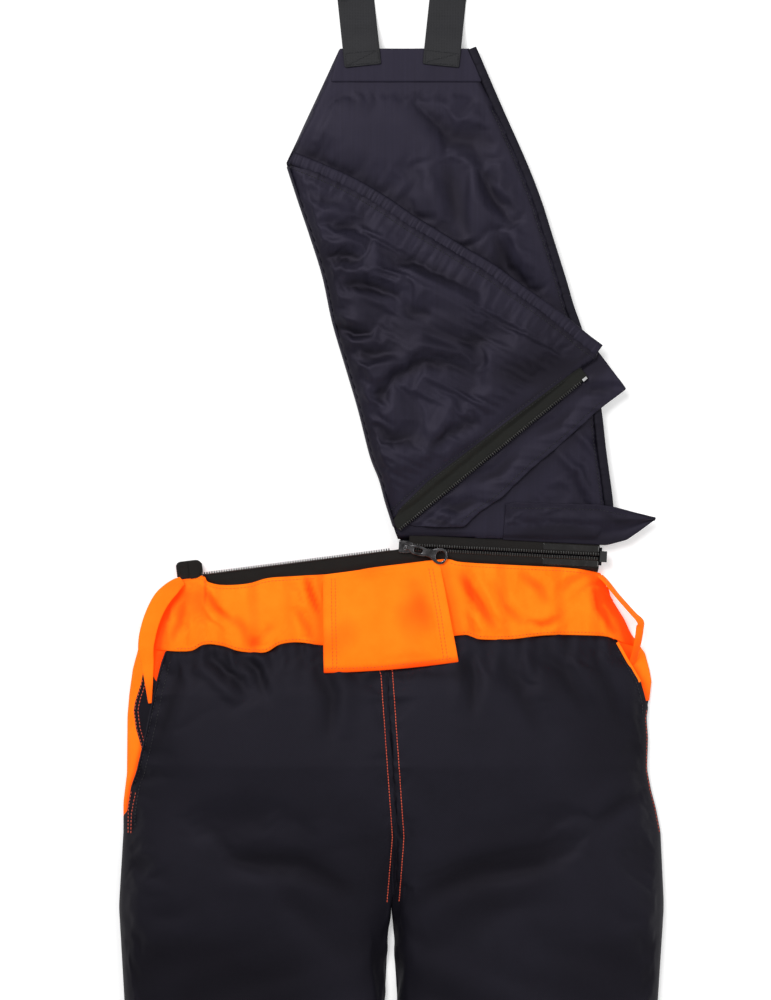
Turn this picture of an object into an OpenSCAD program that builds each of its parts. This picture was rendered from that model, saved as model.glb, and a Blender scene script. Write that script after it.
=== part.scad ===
// Chainsaw protective trousers with a zip-off back panel, lying face down.
// X runs across the waist, Y from the hems towards the braces, Z up off the
// surface. The origin is the middle of the waist opening, on the surface.

/* [Trousers] */
// Length of the outer leg, from the waist edge to the hem
leg_len = 1090; // [1060:10:1120]
// Depth of the rise, from the waist edge to the crotch
rise = 345; // [335:5:355]
// Height of the seat above the surface at its fullest point
seat_h = 48; // [44:1:54]
// Height of the back waistband
band_h = 76; // [74:1:78]
// Thickness of the shell cloth
cloth_t = 1.4; // [1:0.1:1.6]
// Thickness of the cut-protection pad in each leg
pad_t = 7; // [5:0.5:7]

/* [Loops] */
// Width of the wide loop at the centre back
loop_w = 136; // [120:2:140]
// Room for a belt under the wide loop
loop_gap = 9; // [8:0.5:10]
// Width of a side loop
side_loop_w = 15; // [12:1:16]

/* [Zip] */
// Spacing of the zip teeth
pitch = 2.5; // [2.5:0.5:3.5]
// Thickness of the zip teeth
tooth_t = 2.4; // [2:0.1:2.4]
// Length of the closed part of the chain
closed_len = 186; // [180:1:188]
// Length of the open part of the chain on the waistband
open_len = 206; // [196:2:208]
// Height of the chain above the surface
chain_z = 12; // [12:0.1:12.4]

/* [Back panel] */
// Thickness of the wadding inside the back panel
wadding_t = 4.2; // [3:0.2:4.2]
// Height of the top edge of the panel above the waist edge
panel_top = 520; // [505:5:530]
// Width of the elastic casing on the panel's sides
elastic_w = 13; // [10:1:14]

/* [Braces] */
// Width of the brace webbing
brace_w = 38; // [34:1:40]
// Thickness of the brace webbing
brace_t = 1.6; // [1.2:0.1:1.8]
// Where the brace turns back on itself, above the waist edge
brace_turn = 760; // [740:5:790]

/* [Hidden] */
navy = "#22222c";
satin = "#262532";
orange = "#ff8018";
black = "#141414";
steel = "#c8c8cc";
yellow = "#d8c860";

// ---------------------------------------------------------------- outlines
edge_z = 3.2;      // height of the side seams
front_z = 1.2;     // underside of the front shells, above the placket
band_y = -7;       // upper edge of the waistband
seat_y = band_y - band_h - 1;
hem_y = 30 - leg_len;
gap = 0.3;         // between layers that lie on each other

// Half width of the whole garment at a height
function half_width(y) = lookup(y, [
    [-leg_len, 235], [-700, 256], [-500, 266], [-rise, 274], [-271, 269],
    [-190, 260], [-120, 258], [-85, 250], [-55, 240], [-30, 227], [band_y, 216]
]);
// Inner edge of a leg below the crotch
function inner_x(y) = lookup(y, [[-leg_len, 20], [-600, 14], [-rise - 30, 4], [-rise, 0]]);
// Height of the back cloth along the middle of the body or the leg
function crown(y) = lookup(y, [
    [-leg_len, 24], [-800, 32], [-500, 40], [-300, seat_h - 2], [-200, seat_h],
    [-130, 40], [-85, 30], [-40, 21], [band_y, 13.6]
]);
function arch(s) = pow(max(0, 1 - pow(abs(s), 4)), 0.6);
function smooth(a, b, x) = let (t = max(0, min(1, (x - a) / (b - a)))) t * t * (3 - 2 * t);

// Height of the back cloth: one arch over the seat, and one over each leg
function top_z(x, y) =
    let (
        out = half_width(y),
        inn = inner_x(y),
        legs = 1 - smooth(-rise - 30, -230, y),
        seat_arch = arch(x / out),
        leg_arch = arch(2 * (abs(x) - inn) / (out - inn) - 1)
    )
    edge_z + (crown(y) - edge_z) * ((1 - legs) * seat_arch + legs * leg_arch);

// The direction square to that cloth, with a Z of 1
function normal_at(x, y) =
    let (d = 0.5)
    [
        (top_z(x - d, y) - top_z(x + d, y)) / (2 * d),
        (top_z(x, y - d) - top_z(x, y + d)) / (2 * d),
        1
    ];
// A point that stands off the cloth, square to it
function off_cloth(x, y, height) =
    let (n = normal_at(x, y)) [x, y, top_z(x, y)] + height * n / norm(n);
// Height straight under x and y of a layer that lies depth below the cloth
function under_cloth(x, y, depth) = top_z(x, y) - depth * norm(normal_at(x, y));

// Outer edges of the seat, where the pocket mouths and hip pieces start
function seat_edge_left(y) = y < -250 ? half_width(y) : lookup(y, [
    [-250, 266], [-223, 262], [-186, 251], [-130, 238], [-99, 231], [seat_y, 226]
]);
function seat_edge_right(y) = y < -140 ? half_width(y) : lookup(y, [
    [-140, 258], [-118, 250], [-95, 238], [seat_y, 231]
]);
function seat_edge(side, y) = side < 0 ? seat_edge_left(y) : seat_edge_right(y);
function ease(u) = (1 - cos(180 * u)) / 2;
function mix(a, b, t) = a + (b - a) * t;

// ------------------------------------------------------------ shape makers
// A closed sheet of cloth over a grid, its upper face at at(u, v). u runs to
// the right of v, so that the cloth's thickness goes under it.
module sheet(cols, rows, at, thick) {
    d = 0.004;
    function normal(u, v) =
        let (
            a = at(min(u + d, 1), v) - at(max(u - d, 0), v),
            b = at(u, min(v + d, 1)) - at(u, max(v - d, 0)),
            c = cross(a, b)
        )
        c / norm(c);
    upper = [for (j = [0:rows]) for (i = [0:cols]) at(i / cols, j / rows)];
    lower = [
        for (j = [0:rows]) for (i = [0:cols])
            at(i / cols, j / rows) - thick * normal(i / cols, j / rows)
    ];
    n = len(upper);
    function id(i, j) = j * (cols + 1) + i;
    faces = [
        for (j = [0:rows - 1]) for (i = [0:cols - 1])
            let (a = id(i, j), b = id(i + 1, j), c = id(i + 1, j + 1), e = id(i, j + 1))
            each [[a, e, c], [a, c, b], [n + a, n + c, n + e], [n + a, n + b, n + c]],
        for (i = [0:cols - 1])
            let (a = id(i, 0), b = id(i + 1, 0), c = id(i, rows), e = id(i + 1, rows))
            each [[a, b, n + b], [a, n + b, n + a], [c, n + e, e], [c, n + c, n + e]],
        for (j = [0:rows - 1])
            let (a = id(0, j), b = id(0, j + 1), c = id(cols, j), e = id(cols, j + 1))
            each [[a, n + b, b], [a, n + a, n + b], [c, e, n + e], [c, n + e, n + c]]
    ];
    polyhedron(concat(upper, lower), faces, convexity = 6);
}

module plate(points, low, high) {
    translate([0, 0, low]) linear_extrude(high - low) polygon(points);
}

// A flat strip between two lists of points that run the same way
function strip(a, b) = concat(a, [for (i = [len(b) - 1:-1:0]) b[i]]);

module stadium(w, h) {
    square([w - h, h], center = true);
    for (s = [-1, 1]) translate([s * (w - h) / 2, 0]) circle(d = h, $fn = 32);
}

// ---------------------------------------------------------------- trousers
leg_rows = 14;
function leg_y(v) = seat_y + (hem_y - seat_y) * pow(1 - v, 1.3);

module seat(side) {
    at = function (u, v)
        let (
            y = leg_y(v),
            t = ease(side < 0 ? 1 - u : u),
            x = side * mix(inner_x(y) + 0.1, seat_edge(side, y), t)
        )
        [x, y, top_z(x, y)];
    color(navy) sheet(8, leg_rows, at, cloth_t);
}

// Outline of one leg, drawn in from its outer and inner edges
function leg_outline(side, out, inn, low, high, rows) = strip(
    [for (i = [0:rows]) let (y = mix(high, low, i / rows)) [side * (half_width(y) - out), y]],
    [for (i = [0:rows]) let (y = mix(high, low, i / rows)) [side * (inner_x(y) + inn), y]]
);

fly_w = 12;
fly_low = -190;

module front(side) {
    color(navy) difference() {
        plate(leg_outline(side, 0, 0.1, hem_y, seat_y, leg_rows), front_z, front_z + cloth_t);
        translate([-fly_w / 2, fly_low, 0]) cube([fly_w, 200, 10]);
    }
}

module hip(side) {
    low = side < 0 ? -212 : -127;
    tuck = 5;
    at = function (u, v)
        let (
            y = mix(low, seat_y, v),
            t = side < 0 ? 1 - u : u,
            x = side * mix(seat_edge(side, y) - tuck, half_width(y) - 1.2, t)
        )
        [x, y, max(edge_z + 2, under_cloth(x, y, cloth_t + 2.6))];
    color(orange) sheet(4, 6, at, 1);
}

module cut_pad(side) {
    low = front_z + cloth_t + gap;
    color(yellow) plate(leg_outline(side, 28, 14, -1010, -200, 10), low, low + pad_t);
}

lining_z = front_z + cloth_t + pad_t + 2 * gap;
module leg_lining(side) {
    color("#3a3a44") plate(leg_outline(side, 16, 8, -1050, -120, 12), lining_z, lining_z + 0.7);
}

module cuff(side) {
    out = half_width(-leg_len);
    inn = inner_x(-leg_len);
    h = crown(-leg_len);
    translate([side * (out + inn) / 2, hem_y - gap, h / 2]) rotate([90, 0, 0])
        color(navy) linear_extrude(30 - gap) difference() {
            stadium(out - inn, h);
            stadium(out - inn - 2 * cloth_t, h - 2 * cloth_t);
        }
}

// Upper edge of the waistband at the back, just short of the zip's tape
function band_edge(x) =
    let (from = zip_at - [0, row_high + 0.1 + tape_w + 0.5])
    from.y + (x - from.x) * tan(x > from.x ? zip_turn : open_turn);

module waistband_back() {
    at = function (u, v)
        let (
            s = mix(-1, 1, ease(u)),
            y = mix(seat_y + 1, band_edge(s * half_width(band_y)), v),
            x = s * (half_width(y) - 0.5)
        )
        [x, y, top_z(x, y) + 0.4];
    color(orange) sheet(18, 4, at, 1.8);
}

band_front_z = 3;
front_top = 4;
module waistband_front() {
    y0 = seat_y + 1;
    w = function (y) half_width(y) - 7;
    color(orange) plate(
        [[-w(y0), y0], [w(y0), y0], [w(-45), -45], [w(front_top), front_top], [-w(front_top), front_top],
            [-w(-45), -45]],
        front_z, front_z + band_front_z
    );
}

module waist_elastic() {
    at = function (u, v)
        let (y = mix(-64, -24, v), x = mix(-185, 185, u))
        [x, y, top_z(x, y) - 2.1];
    color("white") sheet(10, 2, at, 1);
}

module centre_loop() {
    at = function (u, v)
        let (
            x = mix(-loop_w / 2 - 1, loop_w / 2 - 1, u) + mix(0, -10, v) * u,
            y = mix(mix(-108, -98, u), band_edge(x) - 1, v),
            lift = 2.2 + loop_gap * pow(sin(180 * v), 0.6)
        )
        [x, y, top_z(x, y) + lift];
    color(orange) sheet(4, 9, at, cloth_t);
}

// A narrow loop that stands off the hip, from the waist edge down to the pocket
module side_loop(side, top, foot, bow, rise_z) {
    at = function (u, v)
        let (
            s = 1 - v,
            mid = mix(top, foot, s) + bow * sin(180 * s) * [side, 0],
            x = mid.x + (u - 0.5) * side_loop_w,
            y = mid.y - side * (u - 0.5) * side_loop_w * 0.3,
            base = mix(top_z(top.x, top.y), top_z(foot.x, foot.y), s)
        )
        [x, y, base + 5 + rise_z * sin(180 * s)];
    color(orange) sheet(1, 10, at, 1.2);
}

module pocket_welt(side) {
    low = side < 0 ? -222 : -118;
    welt_w = 6;
    at = function (u, v)
        let (
            y = mix(low, seat_y, v),
            t = side < 0 ? 1 - u : u,
            x = side * (seat_edge(side, y) - welt_w * (1 - t))
        )
        off_cloth(x, y, 1.4);
    color(orange) sheet(1, 6, at, 1);
}

module pocket_bag(side) {
    at = function (u, v)
        let (
            y = mix(-255, -105, v),
            t = side < 0 ? 1 - u : u,
            x = side * mix(seat_edge(side, y) - 130, seat_edge(side, y) - 18, t)
        )
        [x, y, top_z(x, y) - 4.6];
    color(navy) sheet(5, 4, at, 0.8);
}

// ------------------------------------------------------ front of the waist
button_y = -44;
button_r = 9;
module fly_placket() {
    color(navy) difference() {
        plate([[-22, -200], [22, -200], [22, front_top], [-22, front_top]], 0, front_z - gap);
        translate([0, button_y, -1]) cylinder(h = 4, r = button_r + gap, $fn = 48);
    }
}
fly_chain_z = 2.4;
module fly_chain() {
    color(black) plate([[-3.5, fly_low + 2], [3.5, fly_low + 2], [3.5, seat_y - 1], [-3.5, seat_y - 1]],
        fly_chain_z, fly_chain_z + 0.8);
}
module fly_slider() {
    top = seat_y - 3;
    low = fly_chain_z - 1.1;
    color(steel) {
        for (z = [low, low + 2.3])
            plate([[-4.8, top - 12], [4.8, top - 12], [4.8, top], [-4.8, top]], z, z + 0.7);
        for (s = [-1, 1]) translate([s * 4.4 - 0.4, top - 12, low]) cube([0.8, 12, 3]);
    }
}
// A tack button set flush in the placket, with a dished face
module waist_button() {
    translate([0, button_y, 0]) color(steel) difference() {
        cylinder(h = front_z - 0.1, r = button_r, $fn = 48);
        translate([0, 0, -1]) cylinder(h = 1.4, r = 5.5, $fn = 48);
    }
}
module front_loops() {
    top = front_top - 9;
    for (x = [-118, 118]) color(orange)
        plate([[x - 8, -86], [x + 8, -86], [x + 8, top], [x - 8, top]], 0, front_z - gap);
}
buckle_x = 158;
module front_buckle_tabs() {
    low = front_z + band_front_z;
    top = front_top - 12;
    for (x = [-buckle_x, buckle_x]) color(black)
        plate([[x - 12, -30], [x + 12, -30], [x + 12, top], [x - 12, top]], low, low + 1.2);
}
module front_buckles() {
    low = front_z + band_front_z + gap;
    for (s = [-1, 1]) translate([s * buckle_x, -30, low]) color(black) difference() {
        translate([-20, -44, 0]) cube([40, 43.7, 7.4]);
        translate([-17.6, -45, 1.2]) cube([35.2, 32, 5]);
        translate([-14, -7, -1]) cube([28, 3, 10]);
    }
}

// --------------------------------------------------------------------- zip
zip_at = [14, 18, chain_z];
zip_turn = -2.9;
open_turn = 7.3;
row_low = 1.0;      // the two rows stand this far from the chain's middle
row_high = 3.6;
tape_w = 10.4;
tape_t = 0.6;

module zip_frame() {
    translate(zip_at) rotate([0, 0, zip_turn]) children();
}
module open_frame() {
    translate(zip_at) rotate([0, 0, open_turn]) children();
}
// One row of teeth, from x = 0 to len, its teeth pointing at y = 0
module comb(length, shift) {
    tooth = pitch * 0.5;
    back = 2.3;
    count = floor((length - shift) / pitch);
    outline = concat(
        [[0, row_high], [0, back]],
        [for (i = [0:count - 1]) let (x = shift + i * pitch + 0.3)
            each [[x, back], [x, row_low], [x + tooth, row_low], [x + tooth, back]]],
        [[length, back], [length, row_high]]
    );
    translate([0, 0, -tooth_t / 2]) linear_extrude(tooth_t) polygon(outline);
}
module tape(x0, x1, width) {
    translate([x0, row_high + 0.1, -tape_t / 2]) cube([x1 - x0, width, tape_t]);
}

chain_start = 10;
module waist_teeth() {
    color(black) {
        zip_frame() translate([chain_start, 0, 0]) mirror([0, 1, 0]) comb(closed_len, pitch / 2);
        open_frame() translate([-open_len, 0, 0]) mirror([0, 1, 0]) comb(open_len - 12, 0);
    }
}
module waist_tape() {
    color(black) {
        zip_frame() mirror([0, 1, 0]) tape(-6, chain_start + closed_len, tape_w);
        open_frame() mirror([0, 1, 0]) tape(-open_len, 6, tape_w);
    }
}
module panel_teeth() {
    color(black) zip_frame() translate([chain_start, 0, 0]) comb(closed_len, 0);
}
module panel_tape() {
    color(black) zip_frame() tape(-4, chain_start + closed_len, 7.3);
}
// The loose end of the waist tape, rolled over at the hip
module tape_roll() {
    open_frame() translate([-open_len - 14, 12, 6]) rotate([90, 0, 0]) color(black)
        linear_extrude(17) difference() {
            stadium(27, 12);
            stadium(23.4, 8.4);
        }
}
box_x = chain_start + closed_len + 0.6;
module retainer_box() {
    color(black) zip_frame() translate([box_x, -5.5, -2.5]) difference() {
        cube([7, 11, 5]);
        translate([-1, 6.6, 1.5]) cube([6, 2, 2]);
    }
}
module insertion_pin() {
    color(black) zip_frame() translate([box_x - 0.5, 1.3, -0.8]) cube([5, 1.6, 1.6]);
}
module end_film() {
    color("#505050") zip_frame() for (s = [0, 1]) mirror([0, s, 0])
        translate([chain_start + closed_len - 58, slider_w / 2 + 0.5, tape_t / 2]) cube([57, 3.8, 0.3]);
}

slider_w = 12.4;
lug_x = 1;
pull_turn = -12;    // the pull hangs a little across the chain
pin_z = 5.4;
module zip_slider() {
    half = slider_w / 2;
    wing = [[-6, -half], [2, -half], [8, -4.8], [8, 4.8], [2, half], [-6, half]];
    color("#2a2a2c") zip_frame() {
        plate(wing, 1.6, 2.8);
        plate(wing, -2.8, -1.6);
        for (s = [-1, 1], z = [-1.7, 0.6]) translate([-6, s * (half - 0.6) - 0.6, z]) cube([8, 1.2, 1.1]);
        translate([-5.5, -0.6, -1.7]) cube([4, 1.2, 3.4]);
        rotate([0, 0, pull_turn]) translate([lug_x, 0, 0]) {
            for (s = [-1, 1]) translate([-1.6, s * 3.1 - 0.6, 2.7]) cube([3.2, 1.2, pin_z - 1.2]);
            translate([0, 3.7, pin_z]) rotate([90, 0, 0]) cylinder(h = 7.4, r = 0.9, $fn = 32);
        }
    }
}
module zip_pull() {
    ring_x = 30;
    arm_edge = [[1, 2.1], [4, 2.1], [8, 5], [20, 3], [26, 4]];
    color("#5a5a5e") zip_frame() rotate([0, 0, pull_turn]) translate([lug_x, 0, pin_z]) {
        difference() {
            union() {
                translate([0, 2.2, 0]) rotate([90, 0, 0]) cylinder(h = 4.4, r = 2.1, $fn = 32);
                translate([0, 0, -0.8]) linear_extrude(1.6) difference() {
                    union() {
                        polygon(strip(arm_edge, [for (p = arm_edge) [p.x, -p.y]]));
                        translate([ring_x, 0]) circle(r = 7.4, $fn = 48);
                    }
                    translate([ring_x, 0]) circle(r = 4.7, $fn = 48);
                    translate([8.5, -2]) square([8, 4]);
                }
            }
            translate([0, 3, 0]) rotate([90, 0, 0]) cylinder(h = 6, r = 0.96, $fn = 32);
        }
    }
}

// -------------------------------------------------------------- back panel
lining_low = 5;
lining_t = 0.8;
outer_t = 1;
pad_low = lining_low + lining_t;
panel_face = pad_low + wadding_t + outer_t;
fold_low = [3.5, 34];
fold_high = [-106, 404];
panel_right = [[216, 24], [224, 59], [217, 113], [212, 157], [206, 225], [194, 265], [174, 315], [154, 365],
    [137, 404], [86, panel_top]];
panel_left = [[7, 25.6], fold_low, fold_high, [-55, panel_top]];
function inset(points, d) = [for (p = points) [p.x + d, p.y]];

module panel_layer(low, thick) {
    plate(strip(inset(panel_right, -elastic_w * 0.6), inset(panel_left, 0.4)), low, low + thick);
}
module panel_lining() { color(satin) panel_layer(lining_low, lining_t); }
module panel_wadding() { color("white") panel_layer(pad_low, wadding_t); }
module panel_outer() { color(satin) panel_layer(pad_low + wadding_t, outer_t); }
module panel_elastic() {
    color(black) plate(
        strip(panel_right, inset(panel_right, 0.1 - elastic_w * 0.6)), lining_low + 0.4, panel_face + 0.2
    );
}
yoke_low = panel_top - 34;
module panel_yoke() {
    low = panel_face + gap;
    color(satin) plate([[-62, yoke_low], [92, yoke_low], [80, panel_top], [-52, panel_top]], low, low + 1);
}

// The left half of the panel, folded over to the right along the fold line
flap_at = [4.5, 29];
flap_turn = 39.1;
flap_len = 250;
flap_low = 14.2;
flap_wad_low = flap_low + outer_t;
flap_lin_low = flap_wad_low + wadding_t;
flap_edge = [[208, 215], [169, 241], [125, 270], [71, 306], [16, 340], [-43, 376], [-105, 404]];

module flap_layer(low, thick) {
    plate(concat([[2, 43.4], [191.8, 197.9]], flap_edge, [[-104, 400]]), low, low + thick);
}
module flap_frame(z) {
    translate([flap_at.x, flap_at.y, z]) rotate([0, 0, flap_turn]) children();
}
flap_tape_z = flap_wad_low + wadding_t / 2;
module flap_outer() { color(satin) flap_layer(flap_low, outer_t); }
module flap_wadding() { color("white") flap_layer(flap_wad_low, wadding_t); }
module flap_lining() { color(satin) flap_layer(flap_lin_low, lining_t); }
module flap_elastic() {
    outwards = [0.516, 0.857];
    inner_edge = [for (p = flap_edge) p + 0.1 * outwards];
    outer_edge = [for (p = flap_edge) p + elastic_w * outwards];
    color(black) plate(strip(inner_edge, outer_edge), flap_low + 0.3, flap_lin_low + lining_t);
}
module flap_tape() {
    color(black) flap_frame(flap_tape_z) tape(8, flap_len - 4, 8.8);
}
module flap_teeth() {
    color(black) flap_frame(flap_tape_z) translate([8, 0, 0]) comb(flap_len - 14, 0);
}
module top_stop() {
    color(steel) flap_frame(flap_tape_z) translate([flap_len - 5.5, row_low, -1.5]) cube([5, 2.6, 3]);
}

// The storm flap runs along the zip on the panel's outside. Its inner half
// went over with the folded flap, and its other half is turned up.
module storm_flap_inner() {
    color(satin) flap_frame(0) plate(
        [[45, -30], [100, -37], [184, -34], [242, -31], [271, -30], [276, 10], [45, 10]],
        flap_low - gap - 1, flap_low - gap
    );
}
storm_low = 11.4;
module storm_flap() {
    color(satin) zip_frame() plate(
        [[98, 12], [98, 51], [150, 52], [194, 53], [209, 50.6], [249, 41.6], [235, 28], [223, 18],
            [203, 12]],
        storm_low - chain_z, storm_low - chain_z + 1
    );
}

// ------------------------------------------------------------------ braces
brace_foot_y = panel_top - 20;
brace_floor = 0.5;
turn_r = 3.8;
eye_y = 620;
bar_r = 1.5;
adjuster_y = 700;
upper_z = brace_floor + 2 * turn_r;

module brace_frame(side) {
    translate([side < 0 ? -28 : 50, brace_foot_y, 0]) rotate([0, 0, side * -6])
        translate([0, -brace_foot_y, 0]) children();
}
// Side view of the webbing: off the yoke, along the surface, over and back
brace_mid = concat(
    [[brace_foot_y, panel_face + gap + 1.4 + brace_t / 2], [panel_top, panel_face + gap + 1.4 + brace_t / 2],
        [panel_top + 45, brace_floor + brace_t / 2]],
    [for (a = [-90:18:90])
        [brace_turn + turn_r * cos(a), brace_floor + brace_t / 2 + turn_r + turn_r * sin(a)]],
    [[eye_y + 2.4, upper_z + brace_t / 2]]
);
function side_of(i) =
    let (
        a = brace_mid[max(i - 1, 0)],
        b = brace_mid[min(i + 1, len(brace_mid) - 1)],
        d = (b - a) / norm(b - a)
    )
    [-d.y, d.x] * brace_t / 2;

module brace(side) {
    outline = strip(
        [for (i = [0:len(brace_mid) - 1]) brace_mid[i] + side_of(i)],
        [for (i = [0:len(brace_mid) - 1]) brace_mid[i] - side_of(i)]
    );
    color(black) brace_frame(side) difference() {
        union() {
            translate([-brace_w / 2, 0, 0]) rotate([90, 0, 90]) linear_extrude(brace_w) polygon(outline);
            translate([-brace_w / 2, eye_y, upper_z + brace_t / 2]) rotate([0, 90, 0])
                cylinder(h = brace_w, r = bar_r + 1.4, $fn = 32);
        }
        translate([-brace_w / 2 - 1, eye_y, upper_z + brace_t / 2]) rotate([0, 90, 0])
            cylinder(h = brace_w + 2, r = bar_r + 0.06, $fn = 32);
    }
}
module adjuster(side) {
    slot_w = brace_w + 1.2;
    slot_h = brace_t + 0.8;
    color(black) brace_frame(side) translate([0, adjuster_y + 9, upper_z + brace_t / 2]) rotate([90, 0, 0])
        linear_extrude(18) difference() {
            square([slot_w + 5, slot_h + 3.2], center = true);
            square([slot_w, slot_h], center = true);
        }
}
module buckle(side) {
    w = brace_w + 9;
    z = upper_z + brace_t / 2;
    color(black) brace_frame(side) {
        translate([-w / 2, eye_y, z]) rotate([0, 90, 0]) cylinder(h = w, r = bar_r, $fn = 32);
        translate([0, eye_y, z - 2]) linear_extrude(4) difference() {
            polygon([
                [-w / 2, 3], [-w / 2, -10], [-17, -16], [-17, -44], [-11, -44], [-11, -18], [-3, -18],
                [-3, -40], [3, -40], [3, -18], [11, -18], [11, -44], [17, -44], [17, -16],
                [w / 2, -10], [w / 2, 3]
            ]);
            translate([-brace_w / 2 - 0.8, -5]) square([brace_w + 1.6, 9]);
        }
    }
}

seat(-1);  // seat_left
seat(1);  // seat_right
front(-1);  // front_left
front(1);  // front_right
hip(-1);  // hip_left
hip(1);  // hip_right
cut_pad(-1);  // cut_pad_left
cut_pad(1);  // cut_pad_right
leg_lining(-1);  // leg_lining_left
leg_lining(1);  // leg_lining_right
cuff(-1);  // cuff_left
cuff(1);  // cuff_right
waistband_back();
waistband_front();
waist_elastic();
centre_loop();
side_loop(-1, [-212, -24], [-243, -128], 5, 12);  // side_loop_left
side_loop(1, [213, -14], [240, -104], 20, 11);  // side_loop_right
front_loops();
pocket_welt(-1);  // pocket_welt_left
pocket_welt(1);  // pocket_welt_right
pocket_bag(-1);  // pocket_bag_left
pocket_bag(1);  // pocket_bag_right
fly_placket();
fly_chain();
fly_slider();
waist_button();
front_buckles();
front_buckle_tabs();
waist_tape();
waist_teeth();
tape_roll();
panel_tape();
panel_teeth();
retainer_box();
insertion_pin();
end_film();
zip_slider();
zip_pull();
panel_outer();
panel_wadding();
panel_lining();
panel_elastic();
panel_yoke();
flap_outer();
flap_wadding();
flap_lining();
flap_elastic();
flap_tape();
flap_teeth();
top_stop();
storm_flap_inner();
storm_flap();
brace(-1);  // brace_left
brace(1);  // brace_right
adjuster(-1);  // adjuster_left
adjuster(1);  // adjuster_right
buckle(-1);  // buckle_left
buckle(1);  // buckle_right
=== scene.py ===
"""Chainsaw trousers with a zip-off back panel, lying face down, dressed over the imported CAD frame.

Shapes are worked out in millimetres in the CAD's frame and turned into metres when a mesh is made.
"""
import math
import random

import bmesh
import bpy
import numpy as np
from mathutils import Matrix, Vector, noise
from mathutils.bvhtree import BVHTree
from mathutils.geometry import delaunay_2d_cdt


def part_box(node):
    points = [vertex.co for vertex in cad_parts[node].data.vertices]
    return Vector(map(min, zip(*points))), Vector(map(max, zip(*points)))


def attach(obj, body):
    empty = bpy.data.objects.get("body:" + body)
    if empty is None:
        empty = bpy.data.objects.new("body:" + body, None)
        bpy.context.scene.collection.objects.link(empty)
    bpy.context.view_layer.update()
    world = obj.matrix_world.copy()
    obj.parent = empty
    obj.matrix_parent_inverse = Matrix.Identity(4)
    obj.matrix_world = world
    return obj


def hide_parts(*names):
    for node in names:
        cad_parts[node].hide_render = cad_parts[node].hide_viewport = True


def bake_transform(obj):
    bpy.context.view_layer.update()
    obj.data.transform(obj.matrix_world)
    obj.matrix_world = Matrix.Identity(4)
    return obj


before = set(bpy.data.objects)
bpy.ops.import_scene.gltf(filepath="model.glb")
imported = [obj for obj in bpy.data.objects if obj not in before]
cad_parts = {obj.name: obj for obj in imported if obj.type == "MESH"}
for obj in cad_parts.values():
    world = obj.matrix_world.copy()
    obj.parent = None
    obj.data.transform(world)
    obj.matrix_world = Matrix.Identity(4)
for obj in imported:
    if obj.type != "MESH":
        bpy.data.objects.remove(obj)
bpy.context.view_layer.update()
MM = 0.001
rng = random.Random(7)
scene = bpy.context.scene


# ---------------------------------------------------------------- small maths
def lookup(x, points):
    """Straight lines through points, which are (x, value) pairs in rising order."""
    xs, ys = zip(*points)
    return np.interp(x, xs, ys)


def smooth(a, b, x):
    """0 at a, 1 at b, and a soft step between them. a may be the larger one."""
    t = np.clip((x - a) / (b - a), 0, 1)
    return t * t * (3 - 2 * t)


def bell(x, width):
    """1 at x = 0, falling to 0.37 at width on both sides."""
    return np.exp(-((x / width) ** 2))


def arch(s):
    """A broad arch with steep sides, 1 at s = 0 and 0 at s = -1 and 1."""
    return np.clip(1 - np.abs(s) ** 4, 0, None) ** 0.6


def ripple(x, wavelength, seed):
    """An uneven wave between about -1 and 1."""
    k = 2 * math.pi / wavelength
    return (
        np.sin(k * x + seed)
        + 0.7 * np.sin(1.73 * k * x + 2.1 * seed)
        + 0.5 * np.sin(0.61 * k * x + 3.7 * seed)
    ) / 1.8


def cloud(x, y, size, seed):
    """Soft noise over the plane, one value per point."""
    flat = [noise.noise(Vector((a / size, b / size, seed))) for a, b in zip(np.ravel(x), np.ravel(y))]
    return np.array(flat).reshape(np.shape(x))


def press(x, y, creases):
    """The sum of some folds, each (path, width, depth, lip, lean)."""
    return sum(fold(x, y, *crease) for crease in creases)


def path_distance(x, y, path):
    """Distance to a polyline, how far along it the nearest point is (0 to 1), and on which side it lies."""
    path = np.array(path, float)
    steps = np.diff(path, axis=0)
    lengths = np.hypot(*steps.T)
    best = np.full(np.shape(x), 1e9)
    along = np.zeros(np.shape(x))
    side = np.zeros(np.shape(x))
    done = 0.0
    for start, step, length in zip(path, steps, lengths):
        dx, dy = x - start[0], y - start[1]
        t = np.clip((dx * step[0] + dy * step[1]) / length**2, 0, 1)
        d = np.hypot(dx - t * step[0], dy - t * step[1])
        nearer = d < best
        best = np.where(nearer, d, best)
        along = np.where(nearer, (done + t * length) / lengths.sum(), along)
        side = np.where(nearer, np.sign(step[0] * dy - step[1] * dx), side)
        done += length
    return best, along, side


def fold(x, y, path, width, depth, lip=0.5, lean=0.0):
    """A crease pressed into cloth along a path: a trough that fades at both ends, between two soft lips.

    lean from -1 to 1 puts more of the lip on the right or the left of the path.
    """
    d, along, side = path_distance(x, y, path)
    fade = np.sin(math.pi * np.clip(along, 0.02, 0.98)) ** 0.7
    lips = bell(d - 1.9 * width, 1.1 * width) * (1 + lean * side)
    return depth * fade * (lip * lips - bell(d, width))


def unit(vectors):
    """The same directions, each of length 1."""
    return vectors / np.linalg.norm(vectors, axis=1)[:, None]


def smooth_path(points, step):
    """A Catmull-Rom curve through points, sampled every step."""
    p = np.array(points, float)
    p = np.vstack([2 * p[0] - p[1], p, 2 * p[-1] - p[-2]])
    out = []
    for a, b, c, d in zip(p, p[1:], p[2:], p[3:]):
        n = max(2, int(math.ceil(np.linalg.norm(c - b) / step)))
        t = np.linspace(0, 1, n, endpoint=False)[:, None]
        out.append(
            0.5 * (2 * b + (c - a) * t + (2 * a - 5 * b + 4 * c - d) * t**2 + (3 * b - a - 3 * c + d) * t**3)
        )
    return np.vstack(out + [p[-2:-1]])


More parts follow.
